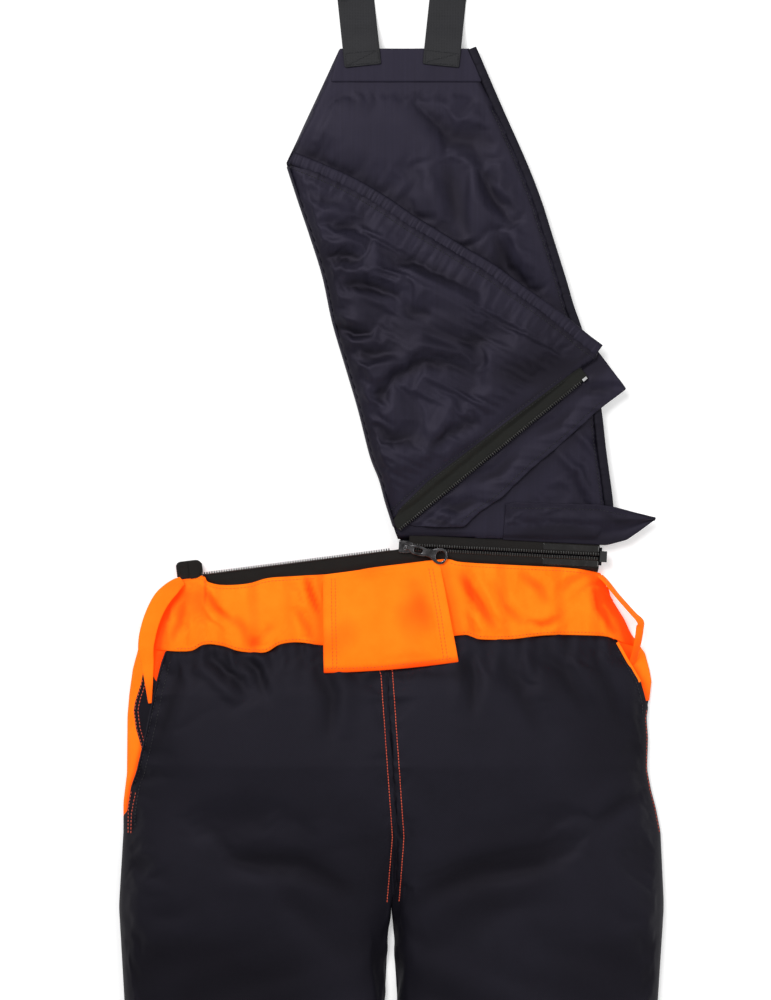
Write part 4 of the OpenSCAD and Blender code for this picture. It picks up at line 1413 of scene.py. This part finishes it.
# Painted shade: in the wrinkles and the hollows, over a broad patch at the lower right, in puckers along the
# elastic seam, and in lines under the tape's edge and along the fold.
def flap_painted_shade(x, y):
    v = flap_frame(x, y)[1]
    seam = -beyond_seam(x, y)
    s = path_distance(x, y, FLAP_SEAM)[1] * SEAM_LENGTH
    hollow = np.clip(-cloud(x, y, 90, 31.0) * 1.3, 0, 0.5)
    lower_right = 0.45 * bell(x - 146, 52) * bell(y - 190, 26)
    puckers = (0.6 + 0.4 * ripple(s, 4.6, 1.0)) * bell(seam, 2.6)
    puckers += 0.18 * np.clip(ripple(s, 11, 2.0), 0, 1) * bell(seam, 9)
    lines = 0.7 * bell(v - 21.5, 2.0) + 0.4 * bell(path_distance(x, y, FOLD_LINE)[0], 7)
    return np.clip(-press(x, y, FLAP_WRINKLES) / 3.2, 0, 1) + hollow + lower_right + puckers + lines


shade(flap, flap_painted_shade)


def flap_held(x, y, z):
    """The same for the folded half: its lower face, its edges and its zip are held."""
    border = path_distance(x, y, np.vstack([flap_outline, flap_outline[:1]]))[0]
    return (z < 16) + smooth(14, 5, border) + smooth(40, 28, flap_frame(x, y)[1])


settle(flap, 0.045, 3.2, flap_held, pressure=1.0)
FLAP = "folded_panel"
finish_piece(flap, FLAP, ["flap_outer", "flap_wadding", "flap_lining"])


def fold_strip():
    """The cloth that runs round the fold, from the base to the folded half."""
    line = spaced(smooth_path(FOLD_LINE, 4), 4.0)[1:-1]
    along = unit(np.gradient(line, axis=0))
    out = np.column_stack([-along[:, 1], along[:, 0]])
    rows = []
    for inset, level, reach in [
        (3.0, 12.2, -7.6), (1.8, 12.2, -7.6), (0.8, 12.2, -7.6), (0.1, 12.2, -7.6), (-0.1, 12.7, 0),
        (0.1, 13.1, 9.5), (0.8, 13.1, 9.5), (1.8, 13.1, 9.5), (2.6, 13.1, 9.2),
    ]:
        swell = math.sqrt(1 - (1 - max(inset, 0) / 18) ** 2)
        rows.append(lifted(line + out * (0.1 - inset), level + reach * swell))
    x, y, z = np.moveaxis(np.array(rows), -1, 0)
    return grid_cloth("fold_cloth", x, y, z, SATIN, 0.3)


strip = fold_strip()
# An even painted shade round the fold.
shade(strip, lambda x, y: 0.4 + 0 * x)
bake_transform(strip)


def casing(name, path, width, height, material, pucker, gather, seed):
    """Cloth gathered over elastic: a flat tube with fine crosswise puckers, deepest on its left, with painted
    shade.
    """
    step, sides, raised = 0.8, 18, np.array([0, 0, 1.0])
    line = spaced(path, step)
    side = unit(np.cross(unit(np.gradient(line, axis=0)), raised))
    s = np.arange(len(line)) * step
    uneven = 0.5 + 0.5 * ripple(s, 47, seed + 2)
    deep = uneven * ripple(s + 1.5 * ripple(s, 31, seed), gather, seed)
    deep += 0.6 * ripple(s, gather * 2.3, seed + 4)
    rings, dark = [], []
    for k in range(sides):
        a = 2 * math.pi * k / sides
        c, h = math.cos(a), math.sin(a)
        c, h = math.copysign(abs(c) ** 0.8, c), math.copysign(abs(h) ** 0.55, h)
        near = 0.35 + 0.65 * max(0, -c) ** 1.5
        lift = pucker * deep * near * (abs(h) + 0.3) * (1 if h > 0 else 0.4)
        out = c * (width / 2 + 0.25 * lift)
        rings.append(line + side * out[:, None] + raised * (h * height / 2 + lift)[:, None])
        # dark is painted shade: in the hollows between the puckers, a little, varying along the tube, and on
        # its sides.
        dark.append(np.clip((0.2 - deep) * near * 0.75, 0, 1) + 0.12 * uneven + 2 * max(0, abs(c) - 0.8))
    points = np.stack(rings, axis=1).reshape(-1, 3)
    obj = recalculated(make(name, points, tube_faces(len(line), sides), material))
    store_painted_shade(obj, np.stack(dark, axis=1).ravel())
    return obj


seam_line = smooth_path(FLAP_SEAM, 3)
casing_path = lifted(seam_line + side_way * 6.6, 16.8 + 0.5 * np.sin(np.linspace(0, 9, len(seam_line))))
flap_casing = casing("flap_elastic_casing", casing_path, 13.8, 5.4, SATIN, 0.5, 4.4, 1.0)
finish_piece(flap_casing, FLAP, ["flap_elastic"])
edge_line = smooth_path([(x - 4.4, y) for x, y in PANEL_RIGHT], 3)
edge_z = 9.6 + 0.9 * np.sin(np.linspace(0, 14, len(edge_line))) - 2.0 * smooth(66, 46, edge_line[:, 1])
base_casing = casing("panel_elastic_casing", lifted(edge_line, edge_z), 9.4, 6.4, NAVY, 0.22, 6.5, 3.0)
finish_piece(base_casing, TROUSERS, ["panel_elastic"])


for node, material, width in [
    ("top_stop", SILVER, 0.5), ("retainer_box", PLASTIC, 0.7), ("insertion_pin", PLASTIC, 0.2),
    ("front_buckles", PLASTIC, 0.8), ("adjuster_left", PLASTIC, 0.9), ("adjuster_right", PLASTIC, 0.9),
    ("buckle_left", PLASTIC, 0.7), ("buckle_right", PLASTIC, 0.7), ("fly_slider", NICKEL, 0.2),
    ("waist_button", NICKEL, 0.25), ("fly_chain", TEETH, 0.1),
]:
    # a CAD part that stays: its edges are softened by a modifier, and its mesh isn't changed
    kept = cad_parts[node]
    for place in kept.material_slots:
        place.material = material
    bevel = kept.modifiers.new("edges", "BEVEL")
    bevel.width = width * MM
    bevel.segments = 2
    bevel.limit_method = "ANGLE"
    bevel.angle_limit = math.radians(40)


# ---------------------------------------------------------------- the flap's zip and the storm flaps
CLEARANCE = 1.3  # between the base and what lies on it
CHAIN_REST = 17.3  # how high the folded half's zip lies


def flap_zip_tape():
    """The tape on the folded half's edge, on top of its quilting."""
    along = np.arange(6, 252, 2.5)
    wide = lookup(along, [(6, 13), (24, 19), (60, 22), (170, 18), (240, 15), (252, 14)])
    u, k = np.meshgrid(along, np.linspace(0, 1, 12))
    x, y = flap_grid(u, 1.8 + k * (wide - 1.8)[None])
    z = np.maximum(CHAIN_REST + 0.25 * ripple(u, 30, 2.0), Cloth(flap).heights(x, y, 0) + 0.55)
    return grid_cloth("flap_tape_cloth", x, y, z, OLIVE_TAPE, 0.6)


flap_tape = finish_piece(flap_zip_tape(), FLAP, ["flap_tape"])
flap_chain = lifted(flap_point(np.linspace(8, 243, 160), 0).T, CHAIN_REST)
flap_teeth = tooth_row("flap_zip_teeth", flap_chain, (*turned(FLAP_TURN, 0, 1), 0), 0)
finish_piece(flap_teeth, FLAP, ["flap_teeth"])

base_cloth = Cloth(base)
INNER_STORM = [
    (12, -4), (22, -12), (30, -19), (40, -27), (53, -36.8), (76, -35), (105, -37.8), (150, -34), (184, -33.9),
    (212, -32.4), (242, -30.8), (271, -29.9),
]
INNER_CREASES = [
    (flap_point(*zip(*path)).T, width, depth, 0.5, 0.3) for path, width, depth in [
        ([(52, -6), (66, -18), (88, -24)], 6, 3.0), ([(34, -8), (44, -18), (52, -30)], 5, 2.4),
        ([(96, -8), (120, -16), (150, -12)], 6, 2.0), ([(170, -8), (200, -16), (226, -10)], 6, 1.8),
        ([(232, -4), (250, -14), (262, -26)], 5, 1.8),
    ]
]


def inner_storm():
    """The storm flap that went over with the folded half, and shows below its zip."""
    u, k = np.meshgrid(np.linspace(12, 272, 104), np.linspace(0, 1, 26))
    high = 9 + 17 * smooth(238, 264, u)
    v = high + k * (lookup(u, INNER_STORM) - high - 2 * smooth(240, 272, u))
    u = u + (4.2 + 4.8 * k) * smooth(240, 272, u) - 0.06 * (u - 150) * k
    x, y = flap_grid(u, v)
    floor = np.where(k > 0.3, base_cloth.heights(x, y, 6.0) + CLEARANCE, 13.4)
    z = 13.4 + (1.2 * ripple(u, 58, 3.0) + 0.8 * ripple(u + v, 23, 1.0) + 1.4) * smooth(0.3, 1, k)
    z += 3.4 * smooth(80, 50, u) * bell(v + 16, 12) * (0.6 + 0.4 * ripple(v, 14, 2.0))
    z = np.maximum(z, floor)
    z = np.where(v > 2, np.minimum(z, 13.7), z)
    z = np.where(v < 0, np.maximum(z + press(x, y, INNER_CREASES), floor), z)
    obj = grid_cloth("storm_flap_inner_cloth", x, y, z, SATIN, 1.0)

    # Painted shade in its creases and just under the zip.
    def painted_shade(x, y):
        under_zip = bell(np.clip(flap_frame(x, y)[1] + 1, None, 0), 5)
        return np.clip(-press(x, y, INNER_CREASES) / 2.4, 0, 1) + 0.75 * under_zip

    return shade(obj, painted_shade)


STORM_CREASES = [
    ([(120, 30), (170, 36), (214, 30)], 7, 2.6, 0.5, 0.2),
    ([(206, 52), (228, 44), (246, 46)], 5, 2.0, 0.5, 0.2),
]


def outer_storm():
    """The storm flap that is turned up over the closed half of the zip, and ends in a point."""
    s, k = np.meshgrid(np.linspace(0, 1, 80), np.linspace(0, 1, 26))
    low_u = lookup(s, [(0, 98), (0.7, 203), (0.82, 223), (0.9, 236), (1, 250.5)])
    low_v = lookup(s, [(0, 11.6), (0.7, 11.6), (0.82, 18), (0.9, 28), (1, 40)])
    up_u = lookup(s, [(0, 99), (0.35, 150), (0.7, 194), (0.82, 210), (1, 251)])
    up_v = lookup(s, [(0, 48), (0.06, 50.5), (0.35, 51.5), (0.7, 52.5), (0.82, 50.5), (1, 41.5)])
    u, v = low_u + k * (up_u - low_u), low_v + k * (up_v - low_v)
    x, y = zip_grid(u, v)
    z = 12.2 + 2.4 * k**1.5 + 0.9 * ripple(u, 62, 2.0) * k + 0.5 * ripple(u + 0.5 * v, 24, 1.0) * k
    z += 1.6 * bell(k - 0.62, 0.14) * smooth(98, 140, u) - 1.2 * bell(k - 0.3, 0.12) * smooth(98, 130, u)
    z = np.maximum(z, np.where(k > 0.1, base_cloth.heights(x, y, 6.0) + CLEARANCE, 12.2))
    obj = grid_cloth("storm_flap_cloth", x, y, z, SATIN, 1.0)

    # Painted shade: in its creases, an even share all over, and more towards its lower edge.
    def painted_shade(x, y):
        return np.clip(-press(x, y, STORM_CREASES) / 3, 0, 1) + 0.5 * smooth(34, 24, y) + 0.35

    return shade(obj, painted_shade)


storm_inner = finish_piece(inner_storm(), FLAP, ["storm_flap_inner"])
storm = finish_piece(outer_storm(), "storm_flap_body", ["storm_flap"])

film_u, film_s = np.meshgrid(np.linspace(139, 195.5, 30), np.linspace(0, 1, 6))
for name, way in (("end_film_low", -1), ("end_film_high", 1)):
    fx, fy = zip_grid(film_u, way * (4.3 + 6.2 * film_s))
    fz = 12.42 + 0.18 * cloud(fx, fy, 9, 4.0) + 0.1 * ripple(film_u, 7, 1.0)
    film = grid_cloth(name, fx, fy, fz, FILM, 0.3)
    finish_piece(film, TROUSERS, ["end_film"] if way < 0 else [])

a = np.arange(10, 236, 6)
tape_hem = [(6, 22.6), (60, 25), (170, 21), (240, 18)]
tape_middle = [(6, 17.4), (60, 20.2), (170, 16.4), (240, 13.6)]
flap_rows = [flap_point(a, lookup(a, tape_hem)).T, flap_point(a, lookup(a, tape_middle)).T]
flap_rows.append(seam_line[::4] - side_way * 3.2)
sew(
    "flap_stitches", flap_rows, Cloth(flap, flap_tape), NAVY_THREAD, FLAP, "panel_shell", pitch=3.4,
    length=2.4, radius=0.42,
)
a = np.arange(60, 250, 6)
inner_rows = [flap_point(a, lookup(a, INNER_STORM) + 5).T]
sew("inner_storm_stitches", inner_rows, Cloth(storm_inner), NAVY_THREAD, FLAP, "panel_shell", radius=0.35)
a = np.arange(104, 230, 6)
storm_rows = [zip_point(a, lookup(a, [(99, 44), (150, 46), (194, 47), (230, 41)])).T]
sew("storm_stitches", storm_rows, Cloth(storm), NAVY_THREAD, "storm_flap_body", "panel_shell", radius=0.35)
edge_rows = [[(x - 11.5, y) for x, y in PANEL_RIGHT[2:-1]]]
sew("panel_edge_stitches", edge_rows, Cloth(base), NAVY_THREAD, TROUSERS, "panel_shell", radius=0.4)

# ---------------------------------------------------------------- top of the panel and the braces
yx, yy = np.meshgrid(np.linspace(0, 1, 40), np.linspace(486, 520, 10))
left_edge, right_edge = lookup(yy, [(486, -61), (520, -52)]), lookup(yy, [(486, 92), (520, 80)])
yx = left_edge + (right_edge - left_edge) * yx
yoke = grid_cloth("yoke_cloth", yx, yy, 12.2 + 0.15 * ripple(yx, 30, 1.0), SATIN, 0.9)
finish_piece(yoke, TROUSERS, ["panel_yoke"])


def brace(side):
    """Webbing from the yoke, along the surface, back over itself and round the adjuster's bar."""
    turn = -6 * side
    start = np.array([-28 if side < 0 else 50, 500])
    end_y, end_radius, bar_y, bar_radius = 760, 3.8, 620, 2.45
    points = [(502, 13.55), (512, 13.55), (522, 13.4), (532, 11.2), (545, 5.6), (556, 2.4), (568, 1.35)]
    for y in range(580, end_y, 12):
        slack = math.sin((y - 568) / 190 * math.pi) ** 2
        points.append((y, 1.35 + 1.1 * slack * (0.5 + 0.5 * math.sin(y / 17 + side))))
    for a in np.radians(np.arange(-90, 91, 15)):
        points.append((end_y + end_radius * math.cos(a), 5.1 + end_radius * math.sin(a)))
    points += [(y, 8.9) for y in range(748, 640, -12)]
    points += [(630, 9.3), (624, 11.0)]
    for a in np.radians(np.arange(70, 291, 20)):
        points.append((bar_y + bar_radius * math.cos(a), 8.9 + bar_radius * math.sin(a)))
    points += [(625, 6.7), (632, 7.1), (638, 7.15)]
    flat = spaced(points, 2.0)

    def placed(x, y):
        return turned(turn, x, y - start[1]).T + start

    path = lifted(placed(0 * flat[:, 0], flat[:, 0]), flat[:, 1])
    across = np.tile([*turned(turn, 1, 0), 0], (len(path), 1))
    name = "brace_left" if side < 0 else "brace_right"
    obj = ribbon(name + "_webbing", path, 37.5, ELASTIC, 1.5, across=across, cols=9)
    finish_piece(obj, TROUSERS, [name])
    rows = [[placed(x, y) for x in (-17, 0, 17)] for y in (504, 516)]
    rows += [[placed(x, y) for y in (504, 510, 516)] for x in (-16.5, 16.5)]
    rows.append([placed(-16, 504), placed(16, 516)])
    top = Cloth(obj)
    sew(name + "_stitches", rows, top, NAVY_THREAD, TROUSERS, "elastic", pitch=3.0, length=2.3, radius=0.35)
    return obj


braces = [brace(-1), brace(1)]


# ---------------------------------------------------------------- the front, the legs' insides and the hems
def leg_grid(side, out, inn, low, high, rows, cols):
    """A leg's width and length as a grid, out and inn mm inside its outer and its inner edge."""
    t, y = np.meshgrid(np.linspace(0, 1, cols), np.linspace(low, high, rows))
    outer = half_width(side, y) - out
    inner = lookup(y, INNER_EDGE) + inn
    return side * (inner + (outer - inner) * t), y


def front_cloth(side, word):
    x, y = leg_grid(side, 0.5, 0.05, HEM_Y + 30, -84, 190, 50)
    fly_half = 6.2
    x = np.where((np.abs(x) < fly_half) & (y > -190), side * fly_half, x)
    z = 2.3 + 0.22 * cloud(x, y, 40, 7.0 * side) + 0.12 * ripple(y, 60, 2.0)
    return grid_cloth(f"front_cloth_{word}", x, y, z, NAVY, 1.0)


def pad_top(x, y):
    """The cut-protection pad's upper face, with a quilting line every 90 mm."""
    return 10.2 + 0.3 * cloud(x, y, 30, 3.0) - 0.8 * bell((y % 90) - 45, 4)


def leg_pad(side, word):
    y = np.linspace(-1010, -200, 40)
    outer = np.column_stack([side * (half_width(side, y) - 28), y])
    inner = np.column_stack([side * (lookup(y, INNER_EDGE) + 14), y])
    outline = spaced(np.vstack([outer, inner[::-1]]), 10)
    name = f"cut_pad_cloth_{word}"
    return recalculated(pad_mesh(name, outline, 9, pad_top, level_at(2.8), level_at(8), PAD_CLOTH))


def lining(side, word):
    x, y = leg_grid(side, 16, 8, -1052, -120, 150, 36)
    z = 11.6 + 0.4 * cloud(x, y, 45, 9.0) + 0.3 * ripple(y, 70, 1.0)
    return grid_cloth(f"leg_lining_cloth_{word}", x, y, z, MESH_LINING, 0.6)


def cuff(side, word):
    """The turned-up hem: a ring of two layers of cloth that carries on from the leg."""
    c = np.cos(np.linspace(0, math.pi, 61))
    under = (1 - np.abs(c) ** 8) ** 0.5
    rings = []
    for y in np.linspace(HEM_Y + 1, HEM_Y + 33, 13):
        outer, inner = half_width(side, y), lookup(y, INNER_EDGE)
        x = side * ((outer + inner) / 2 + c * ((outer - inner) / 2 - 0.3))
        top = seat_height(x, np.full(len(x), y)) + 1.3 - 0.5 * bell(y - HEM_Y - 24, 1.6) * under
        low = SEAM_Z - (SEAM_Z - 0.7) * under
        x = np.r_[x, x[-2:0:-1]]
        rings.append(np.column_stack([x, y + 0.6 * ripple(x, 70, 2.0), np.r_[top, low[-2:0:-1]]]))
    obj = make(f"cuff_cloth_{word}", np.vstack(rings), grid_faces(len(rings), len(rings[0]), wrap=True), NAVY)
    recalculated(obj)
    thicken(obj, 1.6)
    refine(obj)
    return obj


def pocket_bag(side, word):
    t, y = np.meshgrid(np.linspace(0, 1, 24), np.linspace(-255, -108, 30))
    x = side * (lookup(y, SEAT_LEFT if side < 0 else SEAT_RIGHT) - 128 + 106 * t)
    return grid_cloth(f"pocket_bag_cloth_{word}", x, y, np.maximum(body_height(x, y) - 10.5, 12.6), NAVY, 0.7)


fronts, pads, linings, cuffs, bags = [], [], [], [], []
for side, word in ((-1, "left"), (1, "right")):
    fronts.append(finish_piece(front_cloth(side, word), TROUSERS, [f"front_{word}"]))
    pads.append(finish_piece(leg_pad(side, word), TROUSERS, [f"cut_pad_{word}"]))
    linings.append(finish_piece(lining(side, word), TROUSERS, [f"leg_lining_{word}"]))
    cuffs.append(finish_piece(cuff(side, word), TROUSERS, [f"cuff_{word}"]))
    bags.append(finish_piece(pocket_bag(side, word), TROUSERS, [f"pocket_bag_{word}"]))

x, y = np.meshgrid(np.linspace(-1, 1, 90), np.linspace(-83, -12, 14))
x = x * (lookup(y, RIGHT_EDGE) - 8)
band_front = grid_cloth("waistband_front_cloth", x, y, 4.1 + 0.15 * ripple(x, 40, 2.0), ORANGE, 2.8)
finish_piece(band_front, TROUSERS, ["waistband_front"])
x, y = np.meshgrid(np.linspace(-185, 185, 160), np.linspace(-64, -24, 10))
z = body_height(x, y) - 4.6 + 0.4 * ripple(x, 11, 1.0)
elastic = grid_cloth("waist_elastic_cloth", x, y, z, WHITE_ELASTIC, 1.0)
finish_piece(elastic, TROUSERS, ["waist_elastic"])
placket_outline = [rectangle(-22, 22, -200, -12), circle(9.3, (0, -44))]
placket = welded("fly_placket_cloth", [slab(placket_outline, 0.0, 0.9, 0.3)], NAVY)
finish_piece(placket, TROUSERS, ["fly_placket"])
loop_parts = [slab([rectangle(x - 8, x + 8, -86, -15)], 0.0, 0.9, 0.35) for x in (-118, 118)]
front_loops = welded("front_loop_cloth", loop_parts, ORANGE)
finish_piece(front_loops, TROUSERS, ["front_loops"])
tab_parts = [slab([rectangle(x - 12, x + 12, -30, -8)], 4.2, 1.2, 0.4) for x in (-158, 158)]
tabs = welded("buckle_tab_webbing", tab_parts, ELASTIC)
finish_piece(tabs, TROUSERS, ["front_buckle_tabs"])


# ---------------------------------------------------------------- floor, lights and camera
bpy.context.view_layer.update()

floor_material, tree, shader = blank("floor")
grain = add(tree, "TexNoise", {"Vector": add(tree, "TexCoord", {}, "Object"), "Scale": 3}, "Fac")
feed(tree, shader, {
    "Base Color": ramp(tree, grain, (0, (0.86, 0.86, 0.86)), (1, (0.88, 0.88, 0.88))), "Roughness": 0.9,
    "Emission Color": (1, 1, 1, 1), "Emission Strength": 0.3,
})
bpy.ops.mesh.primitive_plane_add(size=30, location=(0, 0, -0.0005))
floor = bpy.context.object
floor.name = "floor"
floor.data.materials.append(floor_material)

world = bpy.data.worlds.new("world")
scene.world = world
world.use_nodes = True
feed(world.node_tree, world.node_tree.nodes["Background"], {"Color": (1, 1, 1, 1), "Strength": 0.3})


def area_light(name, place, size, power):
    """A square light that points at the part's middle."""
    data = bpy.data.lights.new(name, "AREA")
    data.size = size
    data.energy = power
    light = bpy.data.objects.new(name, data)
    scene.collection.objects.link(light)
    light.location = place
    light.rotation_euler = (Vector((0, 0.05, 0)) - Vector(place)).to_track_quat("-Z", "Y").to_euler()


area_light("key", (-0.9, 1.3, 2.2), 1.3, 52)
area_light("fill", (1.5, 0.1, 1.8), 1.5, 16)
area_light("low", (0.2, -2.2, 1.2), 1.2, 8)

camera_data = bpy.data.cameras.new("camera")
camera_data.sensor_fit = "VERTICAL"
camera_data.angle_y = 2 * math.atan(0.5 / 2.47)
camera_data.clip_end = 60
camera = bpy.data.objects.new("camera", camera_data)
scene.collection.objects.link(camera)
camera.location = (-0.0055, 0.065, 2.5)
scene.camera = camera
scene.view_settings.view_transform = "Standard"
